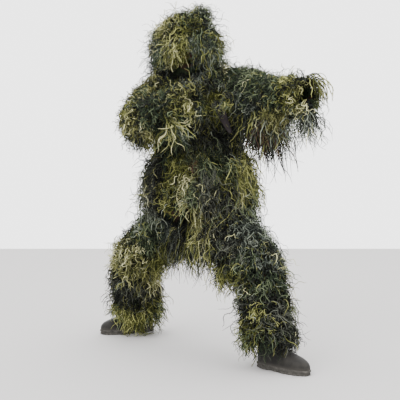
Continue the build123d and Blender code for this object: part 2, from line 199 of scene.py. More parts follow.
def torso_at(z):
    """Half width, half depth, middle and long way of the jacket's oval at a height."""
    table = np.array(TORSO_LEVELS)
    half_width, half_depth, turned = (np.interp(z, table[:, 0], table[:, k]) for k in (1, 2, 3))
    upright = np.array((jacket_x, jacket_front + half_depth, z))
    middle = upright * (1 - turned) + np.array((hips_middle[0], hips_middle[1], z)) * turned
    way = unit(np.array((1.0, 0, 0)) * (1 - turned) + hips_way * turned)
    return half_width, half_depth, middle, way


# ---------------------------------------------------------------- what the yarn lies on
def body_capsules():
    """Round-ended rods, (start, end, start radius, end radius), that fill the clothes and the boots."""
    rods = []
    for z in np.arange(skirt_low[2] + 0.03, panel_high[2], 0.03):
        half_width, half_depth, middle, way = torso_at(z)
        reach = way * (half_width - half_depth)
        rods.append((middle - reach, middle + reach, half_depth, half_depth))
    for paths in (arm_paths, leg_paths):
        for side in SIDES:
            path, radii = paths[side]
            for i in range(0, len(path) - 1, 2):
                j = min(i + 2, len(path) - 1)
                rods.append((path[i], path[j], radii[i], radii[j]))
    rods.append((neck - UP * 0.04, neck + UP * 0.03, 0.092, 0.092))
    rods.append((hood_middle - UP * 0.085, hood_middle, hood_radius * 0.96, hood_radius))
    for side in SIDES:
        ground = ankle[side] * (1, 1, 0)
        toe = unit(sum(box_of(f"{side}_boot_upper")) / 2 * (1, 1, 0) - ground)
        rods.append((ground + UP * 0.05 - toe * 0.03, ground + UP * 0.042 + toe * 0.165, 0.05, 0.042))
        rods.append((ground + UP * 0.06, ankle[side] + UP * 0.05, 0.05, 0.055))
    starts, ends, first, last = (np.array(column) for column in zip(*rods))
    return starts, ends - starts, first, last


ROD_START, ROD_WAY, ROD_FIRST, ROD_LAST = body_capsules()
ROD_LENGTH2 = np.maximum((ROD_WAY ** 2).sum(1), 1e-9)


def distance(points):
    """Distance of each point from the clothes, and the way out from them."""
    away = points[:, None, :] - ROD_START[None]
    t = np.clip((away * ROD_WAY[None]).sum(2) / ROD_LENGTH2, 0, 1)
    radius = ROD_FIRST + (ROD_LAST - ROD_FIRST) * t
    away = away - t[:, :, None] * ROD_WAY[None]
    span = np.linalg.norm(away, axis=2)
    gap = span - radius
    nearest = gap.argmin(1)
    rows = np.arange(len(points))
    out = away[rows, nearest] / np.maximum(span[rows, nearest], 1e-6)[:, None]
    return gap[rows, nearest], out


# ---------------------------------------------------------------- materials
def material(name, roughness, specular=0.5):
    """A new material, its node tree, its shader and the socket of its coordinates."""
    made = bpy.data.materials.new(name)
    made.use_nodes = True
    tree = made.node_tree
    shader = tree.nodes["Principled BSDF"]
    shader.inputs["Roughness"].default_value = roughness
    shader.inputs["Specular IOR Level"].default_value = specular
    return made, tree, shader, tree.nodes.new("ShaderNodeTexCoord").outputs["Object"]


def add_node(tree, kind, **settings):
    """A node of a kind, with its properties and the values of its inputs."""
    made = tree.nodes.new(kind)
    for key, value in settings.items():
        if key.startswith("in_"):
            made.inputs[key[3:].replace("_", " ")].default_value = value
        else:
            setattr(made, key, value)
    return made


def ramp(tree, stops, factor, interpolation="LINEAR"):
    """A ramp with (position, colour or grey) stops, driven by a socket."""
    made = add_node(tree, "ShaderNodeValToRGB")
    made.color_ramp.interpolation = interpolation
    elements = made.color_ramp.elements
    while len(elements) < len(stops):
        elements.new(0.5)
    for element, (position, colour) in zip(elements, stops):
        element.position = position
        element.color = (*colour, 1) if isinstance(colour, tuple) else (colour, colour, colour, 1)
    tree.links.new(factor, made.inputs["Fac"])
    return made.outputs["Color"]


def mixed(tree, factor, first, second, blend_type="MIX"):
    """A colour mixed from two sockets or colours."""
    mix = add_node(tree, "ShaderNodeMix", data_type="RGBA", blend_type=blend_type)
    for slot, value in ((0, factor), (6, first), (7, second)):
        if isinstance(value, bpy.types.NodeSocket):
            tree.links.new(value, mix.inputs[slot])
        else:
            mix.inputs[slot].default_value = value if slot == 0 else (*value, 1)
    return mix.outputs[2]


def noise(tree, where, **settings):
    """The strength of a noise laid over the piece."""
    made = add_node(tree, "ShaderNodeTexNoise", **settings)
    tree.links.new(where, made.inputs["Vector"])
    return made.outputs["Fac"]


def add_bump(tree, shader, height, strength, depth):
    """Bump on the shader from a socket."""
    bump = add_node(tree, "ShaderNodeBump", in_Strength=strength, in_Distance=depth)
    tree.links.new(height, bump.inputs["Height"])
    tree.links.new(bump.outputs["Normal"], shader.inputs["Normal"])


YARN_FAMILIES = {
    # deep, middle and bright colours of each kind of yarn; painted shade at the roots and in the low layers
    # pulls strands towards the deep colour
    "pale": ((0.020, 0.021, 0.008), (0.18, 0.18, 0.065), (0.64, 0.62, 0.36)),
    "olive": ((0.008, 0.009, 0.003), (0.085, 0.092, 0.022), (0.36, 0.36, 0.13)),
    "green": ((0.003, 0.005, 0.003), (0.026, 0.038, 0.020), (0.17, 0.20, 0.11)),
    "grey": ((0.004, 0.005, 0.005), (0.048, 0.056, 0.047), (0.28, 0.31, 0.24)),
    "dark": ((0.0012, 0.0014, 0.0012), (0.010, 0.011, 0.009), (0.085, 0.09, 0.07)),
    "rust": ((0.006, 0.003, 0.002), (0.04, 0.020, 0.014), (0.12, 0.07, 0.05)),
}
FAMILY_ORDER = list(YARN_FAMILIES)


def yarn_material(family):
    """Loose spun yarn: shades from strand to strand, mottled along it, with a twisted grain, and painted
    shade from its colour attribute: darker near the cloth, lighter at the tips.
    """
    deep, mid, bright = YARN_FAMILIES[family]
    made, tree, shader, where = material(f"yarn_{family}", 0.78, 0.06)
    shader.inputs["Sheen Weight"].default_value = 0.015
    shader.inputs["Sheen Roughness"].default_value = 0.5
    # the colour attribute holds each strand's tone plus painted shade: darker at the roots and in low
    # layers, lighter at the tips and in high layers
    tone_and_painted_shade = add_node(tree, "ShaderNodeAttribute", attribute_name="tone_and_painted_shade")
    centred = add_node(tree, "ShaderNodeMath", operation="SUBTRACT")
    tree.links.new(tone_and_painted_shade.outputs["Fac"], centred.inputs[0])
    centred.inputs[1].default_value = 0.22
    mottled = add_node(tree, "ShaderNodeMath", operation="MULTIPLY_ADD")
    tree.links.new(noise(tree, where, in_Scale=85.0, in_Detail=2.0), mottled.inputs[0])
    mottled.inputs[1].default_value = 0.45
    tree.links.new(centred.outputs[0], mottled.inputs[2])
    colour = ramp(tree, [(0.0, deep), (0.45, mid), (1.0, bright)], mottled.outputs[0])
    tree.links.new(colour, shader.inputs["Base Color"])
    along = add_node(tree, "ShaderNodeUVMap", uv_map="strand")
    twist = add_node(tree, "ShaderNodeTexWave", in_Scale=1.0, in_Distortion=1.5, in_Detail=1.0)
    twist.bands_direction = "DIAGONAL"
    tree.links.new(along.outputs["UV"], twist.inputs["Vector"])
    add_bump(tree, shader, twist.outputs["Fac"], 0.5, 0.0006)
    return made


def camo_material():
    """Woodland print on a plain weave, faded and dusty."""
    made, tree, shader, where = material("camo_cloth", 0.9, 0.1)
    blots = noise(tree, where, in_Scale=7.0, in_Detail=3.0, in_Roughness=0.45, in_Distortion=0.9)
    stops = [
        (0.0, (0.006, 0.0065, 0.005)),
        (0.40, (0.014, 0.020, 0.010)),
        (0.50, (0.028, 0.016, 0.011)),
        (0.57, (0.018, 0.027, 0.014)),
        (0.66, (0.042, 0.037, 0.025)),
    ]
    colour = ramp(tree, stops, blots, "CONSTANT")
    faded = ramp(tree, [(0.3, 0.75), (0.75, 1.25)], noise(tree, where, in_Scale=60.0, in_Detail=4.0))
    tree.links.new(mixed(tree, 1.0, colour, faded, "MULTIPLY"), shader.inputs["Base Color"])
    add_weave(tree, shader, where, 900.0, 0.35, 0.0004)
    return made


def add_weave(tree, shader, where, scale, strength, depth):
    """Bump of crossing threads."""
    heights = []
    for direction in ("X", "Z"):
        threads = add_node(tree, "ShaderNodeTexWave", in_Scale=scale / 6.0, in_Distortion=0.4)
        threads.bands_direction = direction
        tree.links.new(where, threads.inputs["Vector"])
        heights.append(threads.outputs["Fac"])
    both = add_node(tree, "ShaderNodeMath", operation="MULTIPLY")
    tree.links.new(heights[0], both.inputs[0])
    tree.links.new(heights[1], both.inputs[1])
    add_bump(tree, shader, both.outputs[0], strength, depth)


yarn_materials = [yarn_material(family) for family in FAMILY_ORDER]
camo = camo_material()


# ---------------------------------------------------------------- meshes from arrays
def mesh_object(name, verts, quads, materials, material_index=None, smooth=True):
    """An object from an array of corners and an array of four-cornered faces."""
    mesh = bpy.data.meshes.new(name)
    mesh.vertices.add(len(verts))
    mesh.vertices.foreach_set("co", np.ascontiguousarray(verts, np.float32).ravel())
    mesh.loops.add(quads.size)
    mesh.loops.foreach_set("vertex_index", np.ascontiguousarray(quads, np.int32).ravel())
    mesh.polygons.add(len(quads))
    mesh.polygons.foreach_set("loop_start", np.arange(0, quads.size, 4, dtype=np.int32))
    mesh.polygons.foreach_set("loop_total", np.full(len(quads), 4, np.int32))
    mesh.polygons.foreach_set("use_smooth", np.full(len(quads), smooth))
    for made in materials:
        mesh.materials.append(made)
    if material_index is not None:
        mesh.polygons.foreach_set("material_index", np.ascontiguousarray(material_index, np.int32))
    mesh.update(calc_edges=True)
    mesh.validate()
    made = bpy.data.objects.new(name, mesh)
    bpy.context.collection.objects.link(made)
    return made


def ring_quads(rings, sides):
    """Faces of a tube of rings, open at both ends."""
    k, s = np.meshgrid(np.arange(rings - 1), np.arange(sides), indexing="ij")
    after = (s + 1) % sides
    low, high = k * sides, (k + 1) * sides
    return np.stack([low + s, low + after, high + after, high + s], -1).reshape(-1, 4)


def grid_quads(rows, columns):
    """Faces of a sheet of rows and columns of corners."""
    row, column = np.meshgrid(np.arange(rows - 1), np.arange(columns - 1), indexing="ij")
    corner = row * columns + column
    return np.stack([corner, corner + 1, corner + columns + 1, corner + columns], -1).reshape(-1, 4)


def thicken(piece, thickness):
    """Gives an open cloth surface its thickness, inwards, as real faces."""
    solid = piece.modifiers.new("thick", "SOLIDIFY")
    solid.thickness = thickness
    solid.offset = -1
    depsgraph = bpy.context.evaluated_depsgraph_get()
    made = bpy.data.meshes.new_from_object(piece.evaluated_get(depsgraph))
    piece.modifiers.clear()
    piece.data = made
    return piece


def path_frames(path):
    """Tangent and two cross directions at each point of a path, turned as little as possible."""
    tangents = unit(np.gradient(path, axis=0))
    first = unit(np.cross(tangents[0], (0.13, 0.21, 0.97)))
    across = [first]
    for tangent in tangents[1:]:
        carried = across[-1] - tangent * (across[-1] @ tangent)
        across.append(unit(carried))
    across = np.array(across)
    return tangents, across, np.cross(tangents, across)


def wrinkles(path_at, angle, size, seed):
    """Folds of cloth: a few long waves round and along a tube."""
    local = np.random.default_rng(seed)
    total = 0
    for _ in range(7):
        along = local.uniform(18, 75)
        around = local.integers(1, 5)
        phase = local.uniform(0, 6.28)
        total = total + np.sin(path_at * along + angle * around + phase)
    return total * size / 3.5


def cloth_tube(name, path, radii, folds=0.0035, seed=1, sides=56):
    """A cloth sleeve along a path, with folds in it."""
    _, across, beside = path_frames(path)
    angle = full_turn(sides)
    at = np.r_[0, np.cumsum(np.linalg.norm(np.diff(path, axis=0), axis=1))]
    fold = wrinkles(at[:, None], angle[None], folds, seed) - folds
    radius = radii[:, None] - 0.004 + fold
    ring = across[:, None] * np.cos(angle)[None, :, None] + beside[:, None] * np.sin(angle)[None, :, None]
    verts = path[:, None] + ring * radius[:, :, None]
    piece = mesh_object(name, verts.reshape(-1, 3), ring_quads(len(path), sides), [camo])
    piece["flat"] = (float(2 * math.pi * radii.mean()), float(at[-1]))
    return thicken(piece, CLOTH_THICKNESS)


# ---------------------------------------------------------------- the base cloth
def split_path(path, radii, cuts):
    """A path and its radii cut at the given points into shorter ones that share their ends."""
    marks = [0] + [int(np.linalg.norm(path - cut, axis=1).argmin()) for cut in cuts] + [len(path) - 1]
    return [(path[a:b + 1], radii[a:b + 1]) for a, b in zip(marks, marks[1:])]


def join_body(piece, region):
    """Puts a piece on the one body of its region; a piece of a region between two bodies only has its
    placement baked in.
    """
    bodies, start, end = REGIONS[region]
    if len(bodies) == 1:
        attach(piece, bodies[0])
    else:
        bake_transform(piece)


def across_joint(point, before, after, reach):
    """Start and end of a bend: a reach each way from a joint, along its two limbs' middle way."""
    way = unit(unit(after - point) - unit(before - point))
    return point - way * reach, point + way * reach


# The body that a region rides on, or the two that it bends between, and where its bend starts and ends
REGIONS = {
    "jacket": (("jacket",), None, None),
    "skirt_top": (("jacket_waist", "jacket"), waist, waist + UP * 0.06),
    "skirt": (("trousers_seat", "jacket_waist"), waist - UP * 0.15, waist),
    "collar": (("jacket", "collar"), neck - UP * 0.03, neck),
    "hood": (("collar", "hood"), neck, neck + UP * 0.05),
}
for side in SIDES:
    down_arm, down_leg = unit(elbow[side] - shoulder[side]), unit(knee[side] - hip[side])
    bends = {
        "armhole": ("jacket", shoulder[side] - OUTWARD[side] * 0.07, shoulder[side]),
        "upper_sleeve": (f"{side}_armhole", shoulder[side], shoulder[side] + down_arm * 0.07),
        "forearm": (f"{side}_upper_sleeve", *across_joint(elbow[side], shoulder[side], wrist[side], 0.07)),
        "hip": ("trousers_seat", hip[side] + UP * 0.09, hip[side]),
        "thigh": (f"{side}_hip", hip[side], hip[side] + down_leg * 0.1),
        "shin": (f"{side}_thigh", *across_joint(knee[side], hip[side], ankle[side], 0.08)),
    }
    for part, (before, start, end) in bends.items():
        REGIONS[f"{side}_{part}"] = ((before, f"{side}_{part}"), start, end)


def torso_cloth(name, low_z, high_z, seed):
    """A level-cut length of the jacket's body, with its armholes left open."""
    levels = np.arange(low_z, high_z + 0.006, 0.012)
    sides = 96
    angle = full_turn(sides)
    fold = wrinkles(levels[:, None], angle[None], 0.0035, seed) - 0.0035
    rings = []
    for level, z in enumerate(levels):
        half_width, half_depth, middle, way = torso_at(z)
        deep = np.cross(UP, way)
        wide_part = way * (np.cos(angle) * (half_width - 0.004 + fold[level]))[:, None]
        deep_part = deep * (np.sin(angle) * (half_depth - 0.004 + fold[level]))[:, None]
        rings.append(middle + wide_part + deep_part)
    verts = np.array(rings).reshape(-1, 3)
    quads = ring_quads(len(levels), sides)
    centres = verts[quads].mean(1)
    open_here = np.zeros(len(quads), bool)
    for side in SIDES:
        path, radii = arm_paths[side]
        near = np.linalg.norm(centres[:, None] - path[None, :14], axis=2).min(1)
        inside_sleeve = (centres - path[0]) @ OUTWARD[side] > 0.008
        open_here |= (near < radii[0] - 0.006) & inside_sleeve
    piece = mesh_object(name, verts, quads[~open_here], [camo])
    half_width, half_depth, _, _ = torso_at((low_z + high_z) / 2)
    correction = math.sqrt((3 * half_width + half_depth) * (half_width + 3 * half_depth))
    around = math.pi * (3 * (half_width + half_depth) - correction)
    piece["flat"] = (float(around), float(high_z - low_z))
    return thicken(piece, CLOTH_THICKNESS)


FACE_HALF_WIDTH = 0.072
FACE_TOP = hood_low[2] + 0.08


def hood_cloth():
    """The hood: a dome on a short wall, open at the neck and, at the front, at the face."""
    sides = 96
    angle = full_turn(sides)
    heights = np.r_[np.linspace(hood_low[2], hood_middle[2], 10), np.zeros(22)]
    spread = np.r_[np.linspace(0.94, 1.0, 10), np.zeros(22)]
    for i in range(22):
        tilt = (i + 1) / 22 * math.radians(88.5)
        heights[10 + i] = hood_middle[2] + hood_radius * math.sin(tilt)
        spread[10 + i] = math.cos(tilt)
    fold = wrinkles(heights[:, None], angle[None], 0.003, 5) - 0.003
    ring = np.stack([np.cos(angle), np.sin(angle), np.zeros(sides)], 1)
    radius = (hood_radius - 0.003) * spread[:, None] + fold * spread[:, None]
    verts = hood_middle * (1, 1, 0) + ring[None] * radius[:, :, None]
    verts[:, :, 2] = heights[:, None]
    verts = verts.reshape(-1, 3)
    quads = ring_quads(len(heights), sides)
    centres = verts[quads].mean(1)
    face = (np.abs(centres[:, 0] - hood_middle[0]) < FACE_HALF_WIDTH) & (centres[:, 2] < FACE_TOP)
    face &= centres[:, 1] < hood_middle[1] - 0.04
    piece = mesh_object("hood_cloth", verts, quads[~face], [camo])
    piece["flat"] = (2 * math.pi * hood_radius * 0.9, hood_radius * 1.75)
    return thicken(piece, CLOTH_THICKNESS)


cloths = {}


def make_cloths():
    """Every length of base cloth, by the region of the suit that it belongs to."""
    cloths["skirt"] = torso_cloth("skirt_cloth", skirt_low[2], waist[2], 21)
    cloths["skirt_top"] = torso_cloth("skirt_top_cloth", waist[2], panel_low[2], 22)
    cloths["jacket"] = torso_cloth("jacket_cloth", panel_low[2], panel_high[2], 23)
    collar_path = np.linspace(neck * (1, 1, 0) + UP * (panel_high[2] - 0.01), neck + UP * 0.04, 6)
    cloths["collar"] = cloth_tube("collar_cloth", collar_path, np.full(6, 0.094), folds=0.002, seed=3)
    cloths["hood"] = hood_cloth()
    for number, side in enumerate(SIDES):
        for paths, top, bottom, reach, parts, folds, seed in (
            (arm_paths, shoulder, elbow, 0.12, ("armhole", "upper_sleeve", "forearm"), 0.0035, 30),
            (leg_paths, hip, knee, 0.16, ("hip", "thigh", "shin"), 0.005, 40),
        ):
            second_cut = top[side] + unit(bottom[side] - top[side]) * reach
            lengths = split_path(*paths[side], [top[side], second_cut])
            for part, (path, radii) in zip(parts, lengths):
                region = f"{side}_{part}"
                cloths[region] = cloth_tube(f"{region}_cloth", path, radii, folds, seed + number)


make_cloths()


# ---------------------------------------------------------------- where each colour of yarn is
# Patches of colour seen from the front: x, z, how far they reach, and the kind of yarn
FRONT_PATCHES = [
    (-0.22, 1.52, 1.0, "grey"), (-0.15, 1.57, 1.0, "pale"), (-0.13, 1.49, 0.8, "olive"),
    (-0.08, 1.56, 0.8, "olive"), (-0.04, 1.52, 1.0, "green"), (0.02, 1.63, 1.0, "grey"),
    (0.05, 1.54, 1.0, "olive"), (-0.10, 1.44, 0.9, "pale"), (0.03, 1.46, 0.8, "green"),
    (-0.17, 1.33, 1.0, "olive"), (-0.20, 1.39, 0.8, "grey"), (0.01, 1.34, 1.0, "grey"),
    (0.09, 1.33, 0.6, "pale"), (-0.06, 1.25, 1.0, "olive"), (-0.04, 1.29, 0.5, "pale"),
    (0.14, 1.35, 0.8, "green"), (0.23, 1.33, 1.1, "green"), (0.21, 1.24, 0.8, "grey"),
    (0.33, 1.31, 1.0, "green"), (0.40, 1.28, 1.0, "olive"), (0.47, 1.29, 0.7, "olive"),
    (0.47, 1.17, 1.0, "grey"), (0.35, 1.19, 0.8, "pale"), (0.31, 1.10, 0.9, "dark"),
    # the dark patches at (0.16, 1.20) and (0.13, 1.04), beside the strap, are painted shadow under the left
    # arm
    (0.21, 1.12, 1.0, "green"), (0.26, 1.02, 1.0, "dark"), (0.16, 1.20, 0.9, "dark"),
    (0.02, 1.12, 1.2, "dark"), (0.13, 1.04, 1.0, "dark"), (-0.09, 1.10, 1.0, "green"),
    (-0.05, 1.18, 0.7, "grey"), (0.07, 1.22, 0.8, "olive"),
    (-0.26, 1.29, 1.0, "pale"), (-0.23, 1.21, 1.0, "green"), (-0.10, 1.21, 0.8, "green"),
    (-0.15, 1.25, 0.5, "pale"), (-0.34, 1.19, 0.6, "olive"), (-0.29, 1.12, 1.1, "pale"),
    (-0.21, 1.05, 1.0, "olive"), (-0.29, 1.02, 0.8, "dark"),
    (-0.20, 0.91, 1.1, "dark"), (-0.09, 0.93, 0.9, "olive"), (-0.13, 1.0, 0.8, "green"),
    (0.0, 0.93, 0.5, "rust"), (0.07, 0.96, 1.1, "green"), (0.19, 0.98, 0.9, "olive"),
    (0.03, 0.86, 1.0, "dark"), (-0.14, 0.80, 1.0, "olive"), (-0.07, 0.84, 0.8, "pale"),
    (0.08, 0.78, 1.1, "dark"), (0.18, 0.84, 0.9, "olive"), (0.21, 0.79, 0.6, "pale"),
    (0.27, 0.76, 1.0, "green"), (-0.22, 0.80, 1.0, "dark"),
    (-0.25, 0.69, 0.9, "pale"), (-0.14, 0.68, 1.0, "grey"), (-0.20, 0.63, 0.8, "green"),
    (-0.26, 0.57, 1.0, "green"), (-0.34, 0.47, 1.1, "pale"), (-0.21, 0.46, 1.1, "olive"),
    (-0.13, 0.55, 0.9, "dark"), (-0.27, 0.38, 0.8, "pale"), (0.04, 0.66, 0.9, "pale"),
    (0.0, 0.57, 0.9, "olive"), (0.09, 0.60, 1.1, "dark"), (0.16, 0.68, 0.9, "grey"),
    (0.24, 0.64, 1.1, "grey"), (0.31, 0.69, 0.9, "pale"), (0.37, 0.59, 0.9, "olive"),
    (0.12, 0.54, 1.0, "dark"), (0.13, 0.40, 0.9, "olive"), (0.24, 0.52, 0.9, "green"),
    (0.31, 0.50, 1.0, "grey"), (0.41, 0.42, 1.0, "pale"), (0.34, 0.42, 1.1, "green"),
    (-0.35, 0.31, 0.8, "dark"), (-0.24, 0.28, 1.1, "dark"), (-0.40, 0.29, 0.8, "dark"),
    (-0.31, 0.17, 0.9, "olive"), (-0.22, 0.18, 1.0, "green"), (-0.36, 0.20, 0.7, "olive"),
    (0.20, 0.31, 1.1, "dark"), (0.25, 0.21, 0.7, "olive"), (0.25, 0.12, 0.9, "green"),
    (0.32, 0.31, 1.1, "dark"), (0.38, 0.15, 1.1, "dark"), (0.40, 0.26, 0.9, "green"),
    (0.31, 0.13, 1.0, "dark"), (0.42, 0.33, 0.7, "olive"),
]
BACK_SHARES = {"pale": 0.17, "olive": 0.23, "green": 0.22, "grey": 0.20, "dark": 0.18}
BACK_BLOTCHES = 260
BLOTCH_SEED = 77
BACK_FACING = 0.15  # how far the cloth's way out has to turn backwards to count as the back
ODD_TIE_SHARE = 0.10  # ties that take a kind from the back's blotches, so that patches mix a little


def family_of(points):
    """The kind of yarn at each point: by patch in front, in blotches of the same kinds behind."""
    patches = np.array([(x, z, reach) for x, z, reach, _ in FRONT_PATCHES])
    kinds = np.array([FAMILY_ORDER.index(kind) for *_, kind in FRONT_PATCHES])
    shift = rng.normal(0, 0.012, (len(points), 2))
    dx = points[:, None, 0] + shift[:, None, 0] - patches[None, :, 0]
    dz = points[:, None, 2] + shift[:, None, 1] - patches[None, :, 1]
    chosen = kinds[((dx ** 2 + dz ** 2) / patches[None, :, 2] ** 2).argmin(1)]
    seeds_rng = np.random.default_rng(BLOTCH_SEED)
    seeds = seeds_rng.uniform(cad_box[0], cad_box[1], (BACK_BLOTCHES, 3))
    names, shares = zip(*BACK_SHARES.items())
    seed_kind = seeds_rng.choice([FAMILY_ORDER.index(n) for n in names], BACK_BLOTCHES, p=shares)
    nearest = np.linalg.norm(points[:, None] - seeds[None], axis=2).argmin(1)
    _, out = distance(points)
    behind = out[:, 1] > BACK_FACING
    odd = rng.random(len(points)) < ODD_TIE_SHARE
    return np.where(behind | odd, seed_kind[nearest], chosen)


# ---------------------------------------------------------------- yarn
def surface_points(piece, count):
    """Points spread over a mesh by area."""
    mesh = piece.data
    mesh.calc_loop_triangles()
    corners = np.zeros(len(mesh.vertices) * 3, np.float32)
    mesh.vertices.foreach_get("co", corners)
    corners = corners.reshape(-1, 3)
    triangles = np.zeros(len(mesh.loop_triangles) * 3, np.int32)
    mesh.loop_triangles.foreach_get("vertices", triangles)
    a, b, c = (corners[triangles.reshape(-1, 3)[:, k]] for k in range(3))
    area = np.linalg.norm(np.cross(b - a, c - a), axis=1)
    if count < 1:
        count = int(area.sum() / 2 * count * 1e6)
    picked = rng.choice(len(area), count, p=area / area.sum())
    u, v = rng.random((2, count, 1))
    over = (u + v) > 1
    u, v = np.where(over, 1 - u, u), np.where(over, 1 - v, v)
    return a[picked] + (b - a)[picked] * u + (c - a)[picked] * v


def over_face(points):
    """True for points of the hood just above the one gap in its fringe."""
    x, z = points[:, 0] - hood_middle[0] - 0.016, points[:, 2] - FACE_TOP
    return (np.abs(x) < 0.042) & (z > -0.02) & (z < 0.085) & (points[:, 1] < hood_middle[1] - 0.02)


def spread_clumps(spacing):
    """Tie points of the yarn over all the cloth, no two nearer than the spacing."""
    points, regions = [], []
    for region, piece in cloths.items():
        candidates = surface_points(piece, 2600)
        on_top = distance(candidates)[0] > BURIED
        for point in candidates[on_top & ~over_face(candidates)]:
            near = points and np.linalg.norm(np.array(points) - point, axis=1).min() < spacing
            if not near:
                points.append(point)
                regions.append(region)
    return np.array(points), np.array(regions)


# The room that strands have, which their kinks may pass by a little, but never into the ground
ROOM_LOW = np.array(cad_box[0]) - 0.03
ROOM_HIGH = np.array(cad_box[1]) + 0.03
KINK_LOW = np.append(ROOM_LOW[:2] - 0.005, 0.003)
KINK_HIGH = ROOM_HIGH + 0.005


def grow(roots, ways, lengths, layers, weight, wander, rings):
    """Grows each strand from its root: it starts its own way, then hangs, and lies on what is below."""
    count = len(roots)
    steps = rings - 1
    step = (lengths / steps)[:, None]
    points = [roots]
    way = unit(ways)
    drift = rng.normal(0, 1, (count, 3))
    for k in range(steps):
        grown = (k + 1) / steps
        drift = drift * 0.6 + rng.normal(0, 1, (count, 3)) * 0.8
        pull = weight[:, None] * min(1.0, 0.25 + grown * 1.3)
        way = unit(way * 0.75 - UP * pull * 0.5 + drift * wander)
        new = points[-1] + way * step
        gap, out = distance(new)
        lift = 0.003 + layers * min(1.0, grown * 3.2)
        new = new + out * np.maximum(lift - gap, 0)[:, None]
        new = np.clip(new, ROOM_LOW, ROOM_HIGH)
        new[:, 2] = np.maximum(new[:, 2], 0.004 + layers * 0.25)
        way = unit(new - points[-1])
        points.append(points[-1] + way * step)
    return np.stack(points, 1)


def crimp(paths, size):
    """The kinks that unravelled yarn keeps, round each strand's line."""
    count, rings, _ = paths.shape
    along = np.linspace(0, 1, rings)
    tangents = unit(np.gradient(paths, axis=1))
    first = unit(np.cross(tangents, unit(rng.normal(0, 1, (count, 1, 3)))))
    second = np.cross(tangents, first)
    turns = rng.uniform(1.2, 3.6, (count, 1)) * 2 * math.pi
    phase = rng.uniform(0, 6.28, (count, 2))
    grown = np.minimum(1, along * 4)[None] * size * np.minimum(2.2, rng.gamma(2.0, 0.55, (count, 1)))
    a = np.sin(turns * along[None] + phase[:, :1]) * grown
    b = np.sin(turns * 0.8 * along[None] + phase[:, 1:]) * grown
    return paths + first * a[:, :, None] + second * b[:, :, None]


batches = {}


def add_yarn(
    ties, outs, combs, regions, kinds, per, lengths, layers, weights,
    spread=0.014, fan=0.55, curl=0.0055, wander=0.26, rings=13, thick=1.0, shades=(0.1, 0.65),
):
    """Grows `per` strands at each tie, and keeps them by region until the pieces are made.

    Each tie has its way out of the cloth, the way it is combed along it, its region and kind, how long
    its strands are, how high above the cloth they lie and how heavily they hang.
    """
    index = np.repeat(np.arange(len(ties)), per)
    total = len(index)
    out, comb = outs[index], combs[index]
    beside = unit(np.cross(out, comb))
    a, b = rng.normal(0, 1, (2, total, 1))
    roots = ties[index] + (beside * a + comb * b) * spread + out * 0.002
    ways = out * rng.uniform(0.1, 0.8, (total, 1)) + comb * 0.75
    ways = ways + (beside * a * 0.6 + comb * b * 0.35) * fan + rng.normal(0, 0.25, (total, 3))
    long = lengths[index] * rng.uniform(0.55, 1.15, total)
    lay = layers[index] * rng.uniform(0.08, 1.0, total)
    heavy = weights[index] * rng.uniform(0.7, 1.2, total)
    paths = crimp(grow(roots, ways, long, lay, heavy, wander, rings), curl)
    paths = np.clip(paths, KINK_LOW, KINK_HIGH)
    # painted shade: strands that lie low, near the cloth, are made darker and those that lie high are made
    # lighter
    depth = np.clip(lay / 0.04, 0, 1) - 0.6
    tone_and_painted_shade = rng.uniform(*shades, len(ties))[index] + rng.normal(0, 0.22, total) + depth * 0.5
    kind = np.where(rng.random(total) < STRAY_SHARE, rng.integers(0, 5, total), kinds[index])
    radius = STRAND_RADIUS * thick * rng.uniform(0.65, 1.3, total)
    where = regions[index]
    for region in np.unique(where):
        rows = where == region
        batch = (paths[rows], radius[rows], np.clip(tone_and_painted_shade[rows], 0, 1), kind[rows])
        batches.setdefault(str(region), []).append(batch)


def strand_arrays(paths, thickness):
    """Corners, faces and two flat layouts of thin tubes with closed ends, one for each path."""
    count, rings, _ = paths.shape
    sides = STRAND_SIDES
    tangents = unit(np.gradient(paths, axis=1))
    chord = unit(paths[:, -1] - paths[:, 0])
    helper = unit(np.cross(chord, unit(rng.normal(0, 1, (count, 3)))))[:, None, :]
    first = unit(np.cross(tangents, helper))
    second = np.cross(tangents, first)
    taper = np.interp(np.linspace(0, 1, rings), [0, 0.1, 0.85, 1], [0.7, 1, 0.85, 0.35])
    radius = thickness[:, None] * taper[None]
    angle = full_turn(sides)
    ring = first[:, :, None] * np.cos(angle)[None, None, :, None]
    ring = ring + second[:, :, None] * np.sin(angle)[None, None, :, None]
    verts = paths[:, :, None] + ring * radius[:, :, None, None]
    last = (rings - 1) * sides
    caps = np.array([[3, 2, 1, 0], [last, last + 1, last + 2, last + 3]])
    one = np.concatenate([ring_quads(rings, sides), caps])
    quads = one[None] + (np.arange(count) * rings * sides)[:, None, None]
    ring_of = one // sides
    side_of = one % sides
    wrapped = np.where((side_of == 0) & (side_of.max(1, keepdims=True) == sides - 1), sides, side_of)
    flat = np.stack([ring_of / (rings - 1), wrapped / sides], -1)
    flat[-2:] = 0.5
    return verts.reshape(-1, 3), quads.reshape(-1, 4), np.broadcast_to(flat, (count, *flat.shape))


